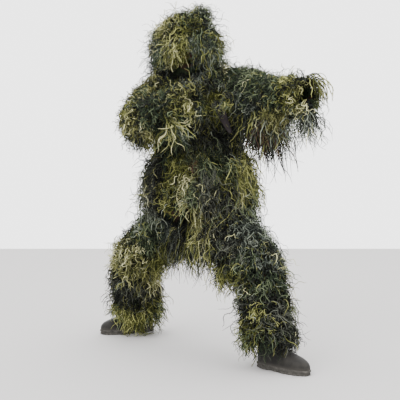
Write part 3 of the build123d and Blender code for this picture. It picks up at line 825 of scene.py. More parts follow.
def yarn_piece(name, parts):
    """One object from several batches of strands, (paths, thickness, shades, kinds)."""
    verts, quads, flats, owners, values = [], [], [], [], []
    offset, strands = 0, 0
    for paths, thickness, shades, _ in parts:
        count, rings, _ = paths.shape
        some_verts, some_quads, flat = strand_arrays(paths, thickness)
        verts.append(some_verts)
        quads.append(some_quads + offset)
        flats.append(flat.reshape(-1, 2))
        owners.append(np.repeat(np.arange(count) + strands, flat.shape[1] * 4))
        # painted shade along each strand: dark at the root, near the cloth, and lighter towards the tip
        painted_shade_along_strand = np.interp(np.linspace(0, 1, rings), [0, 0.45, 1], [-0.5, 0.0, 0.2])
        tone_and_painted_shade = shades[:, None, None] + painted_shade_along_strand[None, :, None] + np.zeros((1, 1, STRAND_SIDES))
        values.append(tone_and_painted_shade.ravel())
        offset += len(some_verts)
        strands += count
    quads, flats, owners = np.concatenate(quads), np.concatenate(flats), np.concatenate(owners)
    kinds = np.concatenate([part[3] for part in parts])
    piece = mesh_object(name, np.concatenate(verts), quads, yarn_materials, kinds[owners[::4]])
    tone_and_painted_shade = piece.data.attributes.new("tone_and_painted_shade", "FLOAT", "POINT")
    tone_and_painted_shade.data.foreach_set("value", np.concatenate(values).astype(np.float32))
    grid = math.ceil(math.sqrt(strands))
    cell = np.stack([owners % grid, owners // grid], -1)
    bake = piece.data.uv_layers.new(name="OFBake")
    bake.data.foreach_set("uv", ((cell + 0.08 + 0.84 * flats) / grid).astype(np.float32).ravel())
    strand = piece.data.uv_layers.new(name="strand")
    strand.data.foreach_set("uv", (flats * (12, 1)).astype(np.float32).ravel())
    return piece


def comb_ways(outs, spread):
    """The way each clump is combed along the cloth: mostly down."""
    down = np.array((0, 0, -1.0)) + rng.normal(0, spread, outs.shape)
    return unit(down - outs * (down * outs).sum(1, keepdims=True))


def add_undercoat():
    """Short dark kinky yarn all over the net, which hides the cloth."""
    dark, green = FAMILY_ORDER.index("dark"), FAMILY_ORDER.index("green")
    for region, piece in cloths.items():
        ties = surface_points(piece, UNDERCOAT_PER_MM2)
        ties = ties[distance(ties)[0] > BURIED]
        _, outs = distance(ties)
        combs = comb_ways(outs, 0.9)
        kinds = np.where(rng.random(len(ties)) < 0.45, family_of(ties), dark)
        kinds = np.where(rng.random(len(ties)) < 0.15, green, kinds)
        add_yarn(
            ties, outs, combs, np.full(len(ties), region), kinds, np.ones(len(ties), int),
            np.where(over_face(ties), 0.03, 0.07), np.full(len(ties), 0.02), np.full(len(ties), 0.6),
            spread=0.004, curl=0.006, wander=0.34, rings=8, thick=1.3, shades=(0.1, 0.5),
        )


def add_overcoat():
    """The clumps of long yarn."""
    ties, regions = spread_clumps(CLUMP_SPACING)
    _, outs = distance(ties + rng.normal(0, 0.001, ties.shape))
    count = len(ties)
    per = rng.integers(int(CLUMP_STRANDS * 0.7), int(CLUMP_STRANDS * 1.3), count)
    lengths = rng.uniform(0.07, 0.155, count)
    layers = rng.uniform(0.018, 0.055, count)
    arm = np.array(["sleeve" in region or "forearm" in region for region in regions])
    lengths = np.where(arm, lengths * 0.72, lengths)
    beside_waist = (np.abs(ties[:, 0] - jacket_x) > 0.12) & (ties[:, 2] > 0.85) & (ties[:, 2] < 1.2)
    flat = (arm & (ties[:, 0] < 0)) | (beside_waist & ~arm)
    layers = np.where(flat, layers * 0.5, layers)
    on_hood = regions == "hood"
    above = np.clip((ties[:, 2] - hood_middle[2]) / hood_radius, 0, 1)
    layers = np.where(on_hood, 0.05 - above * 0.038, layers)
    lengths = np.where(on_hood, 0.15 - 0.02 * above, lengths)
    fringe = on_hood & (outs[:, 1] < -0.1)
    lengths = np.where(fringe, np.clip(ties[:, 2] - neck[2] - 0.02, 0.03, lengths), lengths)
    before_cuff = (np.abs(ties[:, 0] - wrist["left"][0] + 0.04) < 0.03) & (outs[:, 2] < 0.4)
    lengths = np.where(before_cuff & arm, 0.045, lengths)
    weight = rng.uniform(0.3, 1.0, count)
    kinds = family_of(ties)
    # painted shadow under the chin: front ties at the collar and just below it get dark yarn that lies
    # flatter
    near_neck = (ties[:, 2] > neck[2] - 0.07) & (np.abs(ties[:, 0] - neck[0]) < 0.1)
    below_face = (regions == "jacket") & near_neck
    painted_shadow_under_chin = ((regions == "collar") | below_face) & (outs[:, 1] < -0.1)
    kinds = np.where(painted_shadow_under_chin, FAMILY_ORDER.index("dark"), kinds)
    layers = np.where(painted_shadow_under_chin, layers * 0.4, layers)
    combs = np.where(on_hood[:, None], comb_ways(outs, 0.25), comb_ways(outs, 0.6))
    add_yarn(ties, outs, combs, regions, kinds, per, lengths, layers, weight)


def kind_at(point):
    """The name of the kind of yarn at one point."""
    return FAMILY_ORDER[family_of(point[None])[0]]


def bunch(region, kind, ties, way, length, per=40, layer=0.03, weight=0.9, comb=(0, 0, -1.0), **more):
    """Extra clumps of one kind, or of a kind for each tie, that all start the same way."""
    ties = np.atleast_2d(np.array(ties, float))
    count = len(ties)
    outs = np.broadcast_to(unit(way), (count, 3))
    combs = np.broadcast_to(unit(comb), (count, 3))
    kinds = [kind] * count if isinstance(kind, str) else kind
    kinds = np.array([FAMILY_ORDER.index(k) for k in kinds])
    lengths = np.broadcast_to(np.array(length, float), (count,))
    per = np.full(count, max(4, int(per * CLUMP_STRANDS / BUNCH_STRANDS)))
    add_yarn(
        ties, outs, combs, np.full(count, region), kinds, per, lengths,
        np.full(count, layer), np.full(count, weight), **more,
    )


def level_way(degrees):
    """A level direction, turned from +X."""
    return np.array((math.cos(math.radians(degrees)), math.sin(math.radians(degrees)), 0))


def add_hood_bunches():
    """The fringe over the face with its one gap, the lump on top, and yarn round the neck, mostly dark at
    the front as painted shadow under the fringe.
    """
    front = hood_middle - (0, hood_radius, 0)
    for x, kind, length in (
        (-0.1, "green", 0.14), (-0.084, "grey", 0.14), (-0.068, "pale", 0.125), (-0.052, "olive", 0.13),
        (-0.036, "pale", 0.12), (-0.02, "olive", 0.095), (-0.004, "pale", 0.05), (0.012, "grey", 0.045),
        (0.028, "grey", 0.045), (0.044, "green", 0.05), (0.06, "grey", 0.115), (0.074, "grey", 0.13),
        (0.088, "olive", 0.14), (0.102, "grey", 0.14),
    ):
        depth = hood_radius - math.sqrt(hood_radius ** 2 - x ** 2)
        ties = [front + (x, depth + 0.004, FACE_TOP - hood_middle[2] + lift) for lift in (0.012, 0.045)]
        bunch("hood", kind, ties, (x * 4, -1, 0.1), length, per=36, layer=0.022, spread=0.009, fan=0.3)
    crown = hood_middle + (0.058, -0.01, hood_radius * 0.93)
    ties = crown + rng.normal(0, 0.009, (9, 3)) * (1, 1.2, 0.3)
    bunch(
        "hood", ["grey", "dark", "green"] * 3, ties, (0.1, -0.15, 1), 0.095, per=42, layer=0.07,
        weight=0.5, comb=(0.5, -0.2, 0.3), fan=0.7, curl=0.008,
    )
    for angle in np.arange(0, 360, 24):
        way = level_way(angle)
        tie = neck + way * 0.094 + UP * rng.uniform(-0.01, 0.03)
        kind = ("olive", "grey", "dark", "green", "pale")[rng.integers(0, 5)]
        if way[1] > -0.3:
            bunch("collar", kind, tie, way + UP * 0.5, 0.13, per=44, layer=0.045, weight=0.6, spread=0.02)
    # mostly dark clumps in front of the neck: painted shadow under the hood's fringe
    for x, lift, kind in (
        (-0.12, 0.01, "dark"), (-0.10, -0.03, "green"), (-0.075, -0.04, "olive"), (-0.05, -0.02, "dark"),
        (-0.03, -0.03, "dark"), (-0.01, -0.03, "dark"), (0.02, -0.02, "dark"), (0.045, 0.0, "grey"),
        (0.07, 0.02, "olive"), (0.09, 0.02, "green"), (0.0, -0.05, "grey"), (0.04, -0.04, "grey"),
        (0.10, -0.01, "dark"), (0.12, -0.02, "green"),
    ):
        tie = neck + (x, -0.085, lift)
        bunch("collar", kind, tie, (x * 3, -1, -0.3), 0.08, per=44, layer=0.025, weight=0.9, spread=0.014)


def add_placket_bunches():
    """Dark yarn that hides the zip, with an olive streak or two."""
    for number, z in enumerate(np.arange(panel_low[2] + 0.02, panel_high[2] - 0.04, 0.03)):
        for x in (-0.03, 0.0, 0.03):
            kind = "olive" if number % 3 == 0 and x else "dark"
            tie = (jacket_x + x, jacket_front - 0.004, z)
            bunch("jacket", kind, tie, (x * 12, -1, -0.4), 0.10, per=30, layer=0.02, spread=0.014)


def add_strap_bunch():
    """A few strands that cross the upper end of the strap."""
    top = middle_of("chest_strap") + (-0.02, -0.012, 0.062)
    ties = top + np.array([(-0.012, 0, 0.01), (0.006, 0, 0.012), (0.024, 0, 0.012)])
    bunch(
        "jacket", ["dark", "olive", "green"], ties, (0, -0.6, -0.8), 0.07,
        per=22, layer=0.06, spread=0.008, fan=0.3,
    )


def add_arm_bunches():
    """Yarn at the cuffs, the plume, the curtain under the left arm and the right elbow's tufts."""
    for side in SIDES:
        way = unit(wrist[side] - elbow[side])
        first = unit(np.cross(way, UP))
        second = np.cross(first, way)
        for turn in range(8):
            around = first * math.cos(turn * math.pi / 4) + second * math.sin(turn * math.pi / 4)
            tie = wrist[side] + way * 0.004 + around * 0.05
            kind = ("olive", "pale", "grey", "dark", "olive", "green", "grey", "pale")[turn]
            bunch(
                f"{side}_forearm", kind, tie, around * 0.4 + way, 0.085, per=34, layer=0.02,
                comb=way - around * 0.9, spread=0.016, weight=0.7,
            )
    cuff = wrist["left"]
    plume_ties = cuff + np.array([(0.01, 0, 0.045), (0.02, -0.01, 0.04), (-0.005, -0.02, 0.05)])
    bunch(
        "left_forearm", ["olive", "pale", "olive"], plume_ties,
        (0.7, -0.1, 1.0), 0.17, per=18, layer=0.02, weight=0.75, comb=(0.7, 0, 0.9),
        spread=0.005, fan=0.10, wander=0.05, curl=0.003, thick=1.3,
    )
    grey_ties = cuff + np.array([
        (0.02, -0.02, -0.045), (0.03, 0.0, -0.05), (0.01, 0.01, -0.05), (0.025, 0.02, -0.06),
    ])
    bunch("left_forearm", ["grey", "dark", "grey", "grey"], grey_ties, (0.25, 0, -1), 0.19, per=52, fan=0.2)
    upper, fore = elbow["left"] - shoulder["left"], wrist["left"] - elbow["left"]
    for share in np.arange(0.1, 1.75, 0.13):
        along = shoulder["left"] + upper * min(share, 1) + fore * max(share - 1, 0)
        tie = along + (0, -0.02, 0.066 - 0.006 * share)
        kind = kind_at(tie)
        region = "left_upper_sleeve" if share < 0.6 else "left_forearm"
        bunch(
            region, kind, tie, (0, -0.3, 1), 0.10,
            per=30, layer=0.03, weight=0.35, comb=(0.6, 0, 0.4), curl=0.009,
        )
    hung = [
        # share of the arm (0 to 1 above the elbow, 1 to 2 below it), kind, length, how far in front
        (0.2, "dark", 0.16, 0.0), (0.3, "green", 0.18, 0.02), (0.36, "dark", 0.19, 0.0),
        (0.42, "olive", 0.17, 0.03), (0.52, "green", 0.18, 0.0), (0.62, "grey", 0.17, 0.02),
        (0.72, "dark", 0.20, -0.02), (0.8, "dark", 0.25, 0.0), (0.88, "dark", 0.30, -0.02),
        (0.95, "dark", 0.31, 0.01), (1.02, "dark", 0.26, -0.01), (1.08, "dark", 0.18, 0.0),
        (0.86, "green", 0.2, 0.03), (1.0, "rust", 0.2, 0.03),
        (0.75, "olive", 0.14, 0.05), (1.0, "grey", 0.18, 0.03),
        (0.86, "pale", 0.12, 0.055), (0.95, "pale", 0.13, 0.06), (1.02, "pale", 0.11, 0.05),
    ]
    for share, kind, length, ahead in hung:
        along = shoulder["left"] + upper * min(share, 1) + fore * max(share - 1, 0)
        ties = along + (0, -ahead, -0.058) + rng.normal(0, 0.012, (2, 3)) * (1, 1, 0.3)
        region = "left_upper_sleeve" if share < 0.6 else "left_forearm"
        bunch(region, kind, ties, (0, -0.2, -1), length, per=46, spread=0.018, weight=1.1, thick=1.15)
    corner = elbow["right"]
    ties = corner + np.array([
        (0.03, -0.02, -0.04), (0.05, 0.0, -0.04), (0.01, -0.03, -0.03), (0.07, -0.03, -0.03),
    ])
    bunch("right_forearm", ["dark", "olive", "dark", "olive"], ties, (0, -0.3, -1), 0.10, per=46, fan=0.4)
    stripe = wrist["right"] + np.array([
        (-0.10, -0.05, -0.05), (-0.09, -0.055, -0.075), (-0.075, -0.055, -0.095),
    ])
    bunch(
        "right_forearm", ["olive", "pale", "green"], stripe, (0.5, -0.35, -0.8), 0.17, per=26, layer=0.02,
        comb=(0.57, 0.05, -0.82), spread=0.007, fan=0.08, wander=0.12, weight=0.12, shades=(0.4, 0.7),
    )


def add_leg_bunches():
    """Yarn that hangs between the legs, the tongue inside the left thigh, and the full hems."""
    for side in SIDES:
        path, radii = leg_paths[side]
        inward = -OUTWARD[side]
        for k in range(6, int(len(path) * (0.52 if side == "right" else 0.34)), 3):
            for back in (-0.05, 0.0, 0.05):
                tie = path[k] + inward * radii[k] * 0.86 + (0, back, 0)
                kind = kind_at(tie)
                reach = 0.2 if k < 20 else 0.14
                region = f"{side}_hip" if path[k][2] > hip[side][2] - 0.03 else f"{side}_thigh"
                bunch(region, kind, tie, inward + (0, back * 4, -0.6), reach, per=30, spread=0.018)
    fork = (hip["right"] + hip["left"]) / 2
    for x in np.linspace(-0.09, 0.10, 7):
        for y in (-0.07, 0.0, 0.07):
            tie = fork + (x, y, -abs(x) * 0.2)
            kind = kind_at(tie - UP * 0.14)
            region = "right_hip" if x < 0 else "left_hip"
            bunch(region, kind, tie, (0, y * 6, -1), 0.30, per=34, spread=0.02, weight=1.3, fan=0.15)
    for z in np.arange(skirt_low[2] + 0.02, waist[2] + 0.02, 0.035):
        half_width, half_depth, middle, way = torso_at(z)
        for turn in (-1.1, -0.75, -0.4, 0.0, 0.5, 1.1, 2.7, 3.14, 3.5, 3.9):
            deep = np.cross(UP, way)
            out = way * math.cos(turn) + deep * math.sin(turn)
            tie = middle + way * (math.cos(turn) * half_width) + deep * (math.sin(turn) * half_depth)
            kind = kind_at(tie + out * 0.05)
            flare = out * 0.5 - UP
            bunch("skirt", kind, tie, out - UP * 0.3, 0.17, per=30, layer=0.065, weight=0.8, comb=flare)
    path, radii = leg_paths["left"]
    for k in range(10, int(len(path) * 0.62), 3):
        for back in (-0.04, 0.02):
            tie = path[k] + OUTWARD["left"] * radii[k] * 0.9 + (0, back, 0)
            kind = kind_at(tie)
            region = "left_thigh" if path[k][2] > knee["left"][2] + 0.06 else "left_shin"
            bunch(region, kind, tie, (1, back * 4, -0.2), 0.14, per=28, layer=0.055, spread=0.018)
    tongue = np.array([
        (0.115, -0.20, 0.47), (0.095, -0.19, 0.475), (0.13, -0.2, 0.48), (0.105, -0.22, 0.45),
    ])
    # painted shade: the dark clump at the tongue's inner edge (x 0.095) stands in for shading along that
    # edge
    bunch(
        "left_thigh", ["olive", "dark", "olive", "olive"], tongue, (0, -0.4, -1), 0.145,
        per=60, spread=0.014, fan=0.2,
    )
    for side in SIDES:
        path, radii = leg_paths[side]
        for angle in np.arange(0, 360, 20):
            around = level_way(angle)
            tie = path[-4] + around * radii[-4]
            kind = kind_at(tie)
            bunch(f"{side}_shin", kind, tie, around - UP * 0.8, 0.13, per=30, layer=0.04, spread=0.016)


def make_yarn():
    """Makes the pieces of every region from its batches, each small enough to export whole."""
    made = {}
    for region, parts in batches.items():
        pieces, room = [[]], FACES_PER_PIECE
        for batch in parts:
            rings = batch[0].shape[1]
            faces = (rings - 1) * STRAND_SIDES * 2 + 4
            start = 0
            while start < len(batch[0]):
                fits = int(room / faces)
                if fits < SMALLEST_BATCH:
                    pieces.append([])
                    room = FACES_PER_PIECE
                    continue
                taken = tuple(column[start:start + fits] for column in batch)
                pieces[-1].append(taken)
                room -= len(taken[0]) * faces
                start += fits
        for number, some in enumerate(pieces):
            piece = yarn_piece(f"{region}_yarn_{number + 1}", some)
            join_body(piece, region)
            made.setdefault(region, []).append(piece)
    return made


add_undercoat()
add_overcoat()
add_hood_bunches()
add_placket_bunches()
add_strap_bunch()
add_arm_bunches()
add_leg_bunches()
yarns = make_yarn()


# ---------------------------------------------------------------- trims, straps and boots
def webbing_material(name, colour, light, scale, grain=0.0005):
    """Ribbed narrow cloth, dusty where it is rubbed."""
    made, tree, shader, where = material(name, 0.85, 0.12)
    rub = noise(tree, where, in_Scale=40.0, in_Detail=5.0, in_Roughness=0.65)
    worn = ramp(tree, [(0.35, 0), (0.75, 1)], rub)
    tree.links.new(mixed(tree, worn, colour, light), shader.inputs["Base Color"])
    tree.links.new(ramp(tree, [(0.3, 0.7), (0.8, 0.95)], rub), shader.inputs["Roughness"])
    add_weave(tree, shader, where, scale, 0.6, grain)
    return made


def leather_material():
    """Dark oiled nubuck: fine grain, scuffed pale in places and dusty near the ground."""
    made, tree, shader, where = material("boot_leather", 0.6, 0.15)
    grain = add_node(tree, "ShaderNodeTexVoronoi", in_Scale=420.0)
    tree.links.new(where, grain.inputs["Vector"])
    dust = noise(tree, where, in_Scale=14.0, in_Detail=6.0, in_Roughness=0.7)
    scuff = ramp(tree, [(0.42, 0), (0.72, 1)], dust)
    colour = mixed(tree, scuff, (0.007, 0.0065, 0.006), (0.024, 0.022, 0.019))
    height = add_node(tree, "ShaderNodeSeparateXYZ")
    tree.links.new(where, height.inputs["Vector"])
    near_ground = ramp(tree, [(0.024, 1), (0.040, 0)], height.outputs["Z"])
    dusty = mixed(tree, near_ground, colour, (0.035, 0.032, 0.028))
    tree.links.new(dusty, shader.inputs["Base Color"])
    tree.links.new(ramp(tree, [(0.3, 0.48), (0.8, 0.78)], dust), shader.inputs["Roughness"])
    add_bump(tree, shader, grain.outputs["Distance"], 0.35, 0.0004)
    return made


def rubber_material():
    """Grey-brown rubber under road dust."""
    made, tree, shader, where = material("boot_rubber", 0.9, 0.1)
    dust = noise(tree, where, in_Scale=55.0, in_Detail=6.0, in_Roughness=0.7)
    stops = [(0.3, (0.02, 0.019, 0.017)), (0.55, (0.05, 0.047, 0.042)), (0.8, (0.11, 0.10, 0.09))]
    tree.links.new(ramp(tree, stops, dust), shader.inputs["Base Color"])
    add_bump(tree, shader, dust, 0.4, 0.0005)
    return made


def metal_material():
    """Black painted zip metal with brass showing where it rubs."""
    made, tree, shader, where = material("zip_metal", 0.4)
    shader.inputs["Metallic"].default_value = 0.8
    wear = noise(tree, where, in_Scale=700.0, in_Detail=4.0)
    stops = [(0.0, (0.02, 0.02, 0.02)), (0.62, (0.03, 0.03, 0.028)), (0.72, (0.30, 0.22, 0.10))]
    tree.links.new(ramp(tree, stops, wear), shader.inputs["Base Color"])
    tree.links.new(ramp(tree, [(0.3, 0.3), (0.7, 0.55)], wear), shader.inputs["Roughness"])
    return made


elastic = webbing_material("elastic", (0.014, 0.016, 0.010), (0.05, 0.052, 0.035), 1500.0)
strap_web = webbing_material("strap_web", (0.014, 0.011, 0.012), (0.034, 0.028, 0.029), 1100.0)
veil_net = webbing_material("veil_net", (0.045, 0.016, 0.012), (0.10, 0.045, 0.035), 1400.0, 0.0008)
zip_tape = webbing_material("zip_tape", (0.012, 0.014, 0.008), (0.035, 0.036, 0.024), 2200.0)
felt = webbing_material("insole_felt", (0.012, 0.012, 0.012), (0.04, 0.04, 0.038), 1800.0)
leather, rubber, metal = leather_material(), rubber_material(), metal_material()


def finish_piece(piece, body, slot, *nodes):
    """Puts a piece on its body, in place of its CAD nodes."""
    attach(piece, body)
    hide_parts(*nodes)


def sheet_piece(name, corners, made_of, thickness):
    """A thin sheet from rows and columns of corners."""
    quads = grid_quads(*corners.shape[:2])
    return thicken(mesh_object(name, corners.reshape(-1, 3), quads, [made_of]), thickness)


def ring_piece(name, rings, made_of, smooth=True):
    """A tube from rings of as many points each."""
    rings = np.array(rings)
    quads = ring_quads(len(rings), rings.shape[1])
    return mesh_object(name, rings.reshape(-1, 3), quads, [made_of], smooth=smooth)


def ribbed_band(name, middle, way, radii, width):
    """A ribbed elastic round a limb; its edges curl in a little."""
    way = unit(way)
    first = unit(np.cross(way, (0.3, 0.2, 0.93)))
    second = np.cross(way, first)
    angle = full_turn(160)
    spoke = first * np.cos(angle)[:, None] + second * np.sin(angle)[:, None]
    rings = []
    for u in np.linspace(-0.5, 0.5, 9):
        gathered = np.cos(angle * 40) * 0.0007 - 0.001 * (2 * u) ** 6
        radius = np.interp(u, [-0.5, 0.5], radii) + gathered
        rings.append(middle + way * u * width + spoke * radius[:, None])
    return thicken(ring_piece(name, rings, elastic), 0.002)


def add_elastics():
    """The cuffs' and hems' ribbed elastic bands, each put on its limb."""
    made = {}
    for side in SIDES:
        hem_middle = sum(box_of(f"{side}_hem_elastic")) / 2
        for name, part, middle, way, radii in (
            ("cuff", "forearm", wrist[side], wrist[side] - elbow[side], (0.0535, 0.0525)),
            ("hem", "shin", hem_middle, ankle[side] - knee[side], (0.0755, 0.0755)),
        ):
            band = ribbed_band(f"{side}_{name}_band", middle, way, radii, 0.016)
            finish_piece(band, f"{side}_{part}", "elastic", f"{side}_{name}_elastic")
            made[f"{side}_{part}"] = [band]
    return made


def add_seat():
    """The trousers' seat and its gathered waistband, under the skirt."""
    low, high = box_of("seat_fabric")
    band_top = box_of("waistband")[1][2]
    deep = np.cross(UP, hips_way)
    angle = full_turn(144)

    def level(z, half_width, half_depth, folds):
        fold = folds * np.cos(angle * 36)
        middle = np.array((hips_middle[0], hips_middle[1], z))
        wide_part = hips_way * (np.cos(angle) * (half_width + fold))[:, None]
        return middle + wide_part + deep * (np.sin(angle) * (half_depth + fold))[:, None]

    seat_levels = []
    for z, fold in zip(np.linspace(low[2], high[2], 9), np.linspace(0, 0.0012, 9)):
        half_width, half_depth = (
            np.interp(z, (low[2], high[2]), ends) for ends in ((0.205, 0.177), (0.139, 0.131))
        )
        seat_levels.append(level(z, half_width, half_depth, fold))
    band_levels = [level(z, 0.177, 0.131, 0.0014) for z in np.linspace(high[2], band_top, 6)]
    seat = thicken(ring_piece("seat_cloth", seat_levels, camo), CLOTH_THICKNESS)
    band = thicken(ring_piece("waistband_elastic", band_levels, elastic), 0.003)
    for piece, slot, node in ((seat, "camo_cloth", "seat_fabric"), (band, "elastic", "waistband")):
        finish_piece(piece, "trousers_seat", slot, node)


def add_strap():
    """The flat strip of webbing on the chest, a little curled, narrowed at one end."""
    wide, long = 0.040, 0.140
    lean = math.radians(22)
    middle = sum(box_of("chest_strap")) / 2 - UP * 0.014
    normal = unit((0.25, -1, 0))
    across = unit(np.array((math.cos(lean), 0.25 * math.cos(lean), math.sin(lean))))
    along = np.cross(normal, across)
    u, v = np.meshgrid(np.linspace(-0.5, 0.5, 21), np.linspace(-0.5, 0.5, 61))
    curl = 0.004 * np.cos(u * math.pi) + 0.0025 * np.sin(v * 7) - 0.002
    taper = np.clip(0.95 + v, 0.3, 1)
    verts = middle + across * (u * taper * wide + (1 - taper) * 0.3 * wide)[..., None]
    verts = verts + along * (v * long)[..., None] + normal * curl[..., None]
    strap = sheet_piece("chest_webbing", verts, strap_web, 0.0022)
    finish_piece(strap, "jacket", "strap_web", "chest_strap")


def add_veil_and_brim():
    """The rust-brown cloth seen under the fringe, and the binding of the face opening."""
    radius = hood_radius - 0.0055
    low, high = box_of("face_veil")
    a, z = np.meshgrid(np.radians(np.linspace(-44, 44, 45)), np.linspace(low[2], high[2], 19))
    ripple = 0.0012 * np.sin(a * 26) * (1 - (z - low[2]) / (high[2] - low[2]))
    x = hood_middle[0] + (radius + ripple) * np.sin(a)
    y = hood_middle[1] - (radius + ripple) * np.cos(a)
    veil = sheet_piece("veil_cloth", np.stack([x, y, z], -1), veil_net, 0.001)
    finish_piece(veil, "hood", "veil_net", "face_veil")

    edge = hood_radius + 0.001
    reach = math.asin(FACE_HALF_WIDTH / edge)
    up_one_side = [(-reach, z) for z in np.linspace(hood_low[2], FACE_TOP, 12)]
    over_the_top = [(a, FACE_TOP) for a in np.linspace(-reach, reach, 24)[1:-1]]
    line = up_one_side + over_the_top + [(-a, z) for a, z in up_one_side[::-1]]
    axis = hood_middle * (1, 1, 0)
    path = np.array([axis + (edge * math.sin(a), -edge * math.cos(a), z) for a, z in line])
    _, across, beside = path_frames(path)
    angle = full_turn(16)
    ring = across[:, None] * np.cos(angle)[None, :, None] * 0.003
    ring = ring + beside[:, None] * np.sin(angle)[None, :, None] * 0.0055
    brim = ring_piece("brim_binding", path[:, None] + ring, elastic)
    join_body(brim, "hood")
    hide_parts("hood_brim")
    return brim


def box_mesh(name, boxes, made_of):
    """One object from many small blocks, each (low corner, high corner), with bevelled edges."""
    verts, quads = [], []
    faces = np.array([(0, 2, 3, 1), (4, 5, 7, 6), (0, 1, 5, 4), (2, 6, 7, 3), (0, 4, 6, 2), (1, 3, 7, 5)])
    for number, (low, high) in enumerate(boxes):
        verts.extend(product(*zip(low, high)))
        quads.append(faces + number * 8)
    piece = mesh_object(name, np.array(verts), np.concatenate(quads), [made_of], smooth=False)
    bevel = piece.modifiers.new("bevel", "BEVEL")
    bevel.width = 0.0003
    bevel.segments = 2
    return piece


def add_zip():
    """Woven tapes, interlocking teeth, and the slider and pull that the CAD shaped."""
    low, high = box_of("zip_tapes")
    middle_x = (low[0] + high[0]) / 2
    x, z = np.meshgrid(np.linspace(low[0], high[0], 33), np.linspace(low[2], high[2], 161))
    y = np.full(x.shape, low[1]) + 0.0004 * (1 + np.cos((x - middle_x) * 900))
    tapes = sheet_piece("zip_tape_weave", np.stack([x, y, z], -1), zip_tape, 0.0009)
    finish_piece(tapes, "jacket", "zip_tape", "zip_tapes")
    low, high = box_of("zip_coil")
    pitch = 0.0021
    teeth = []
    for number in range(int((high[2] - low[2]) / pitch)):
        bottom = low[2] + number * pitch
        reach = (-0.0026, 0.0009) if number % 2 else (-0.0009, 0.0026)
        low_corner = (middle_x + reach[0], low[1], bottom)
        teeth.append((low_corner, (middle_x + reach[1], high[1], bottom + pitch * 0.8)))
    finish_piece(box_mesh("zip_teeth", teeth, metal), "jacket", "zip_coil", "zip_coil")
    for node in ("zip_slider", "zip_pull"):
        shape = bpy.data.objects[node]
        shape.data.materials.clear()
        shape.data.materials.append(metal)


TOE_WAY = {
    side: unit((np.add(*map(np.array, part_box(f"{side}_boot_sole"))) / 2 - ankle[side]) * (1, 1, 0))
    for side in SIDES
}
# Outlines of a boot from the welt to the shaft's top: height, length, width, middle ahead of the ankle
UPPER_LEVELS = [
    (0.0235, 0.284, 0.101, 0.072), (0.034, 0.287, 0.102, 0.072), (0.048, 0.283, 0.101, 0.070),
    (0.060, 0.270, 0.099, 0.064), (0.070, 0.248, 0.096, 0.054), (0.079, 0.216, 0.093, 0.040),
    (0.088, 0.182, 0.091, 0.024), (0.100, 0.150, 0.088, 0.010), (0.118, 0.128, 0.085, 0.003),
    (0.140, 0.115, 0.082, 0.002),
]
FOOT_AHEAD = 0.072
# Creases across the ball of the foot: depth, how far ahead of the ankle, width
BOOT_CREASES = [(0.0016, 0.118, 0.006), (0.0012, 0.100, 0.005)]
# Outlines of the sole, from the middle of its underside round its edge, and of the insole:
# height, length, width
SOLE_LEVELS = [
    (0.0, 0.02, 0.007), *((0.0, 0.290 * k, 0.102 * k) for k in (0.3, 0.6, 0.85, 0.97)),
    (0.003, 0.293, 0.105), (0.009, 0.292, 0.104), (0.0095, 0.287, 0.100), (0.016, 0.289, 0.101),
    (0.0165, 0.296, 0.107), (0.0235, 0.296, 0.107), (0.0255, 0.291, 0.103), (0.0255, 0.276, 0.094),
    (0.0245, 0.05, 0.018),
]
INSOLE_LEVELS = [
    (0.0296, 0.02, 0.007), (0.0292, 0.2, 0.06), (0.0292, 0.262, 0.08), (0.031, 0.266, 0.083),
    (0.0328, 0.262, 0.08), (0.0322, 0.2, 0.06), (0.032, 0.02, 0.007),
]


def boot_rings(side, levels, count=72):
    """Rings of a boot, each an outline with a full toe and a slim waist."""
    toe = TOE_WAY[side]
    wide_way = np.cross(UP, toe)
    angle = full_turn(count)
    c, s = np.cos(angle), np.sin(angle)
    long_part = np.sign(c) * np.abs(c) ** 0.82
    wide_part = np.sign(s) * np.abs(s) ** 0.86
    waist_in = 1 - 0.10 * np.exp(-((long_part + 0.12) / 0.3) ** 2)
    rings = []
    for z, length, width, *ahead in levels:
        origin = ankle[side] * (1, 1, 0) + toe * (ahead[0] if ahead else FOOT_AHEAD) + UP * z
        ring = origin + toe * (long_part * length / 2)[:, None]
        rings.append(ring + wide_way * (wide_part * waist_in * width / 2)[:, None])
    return np.array(rings)


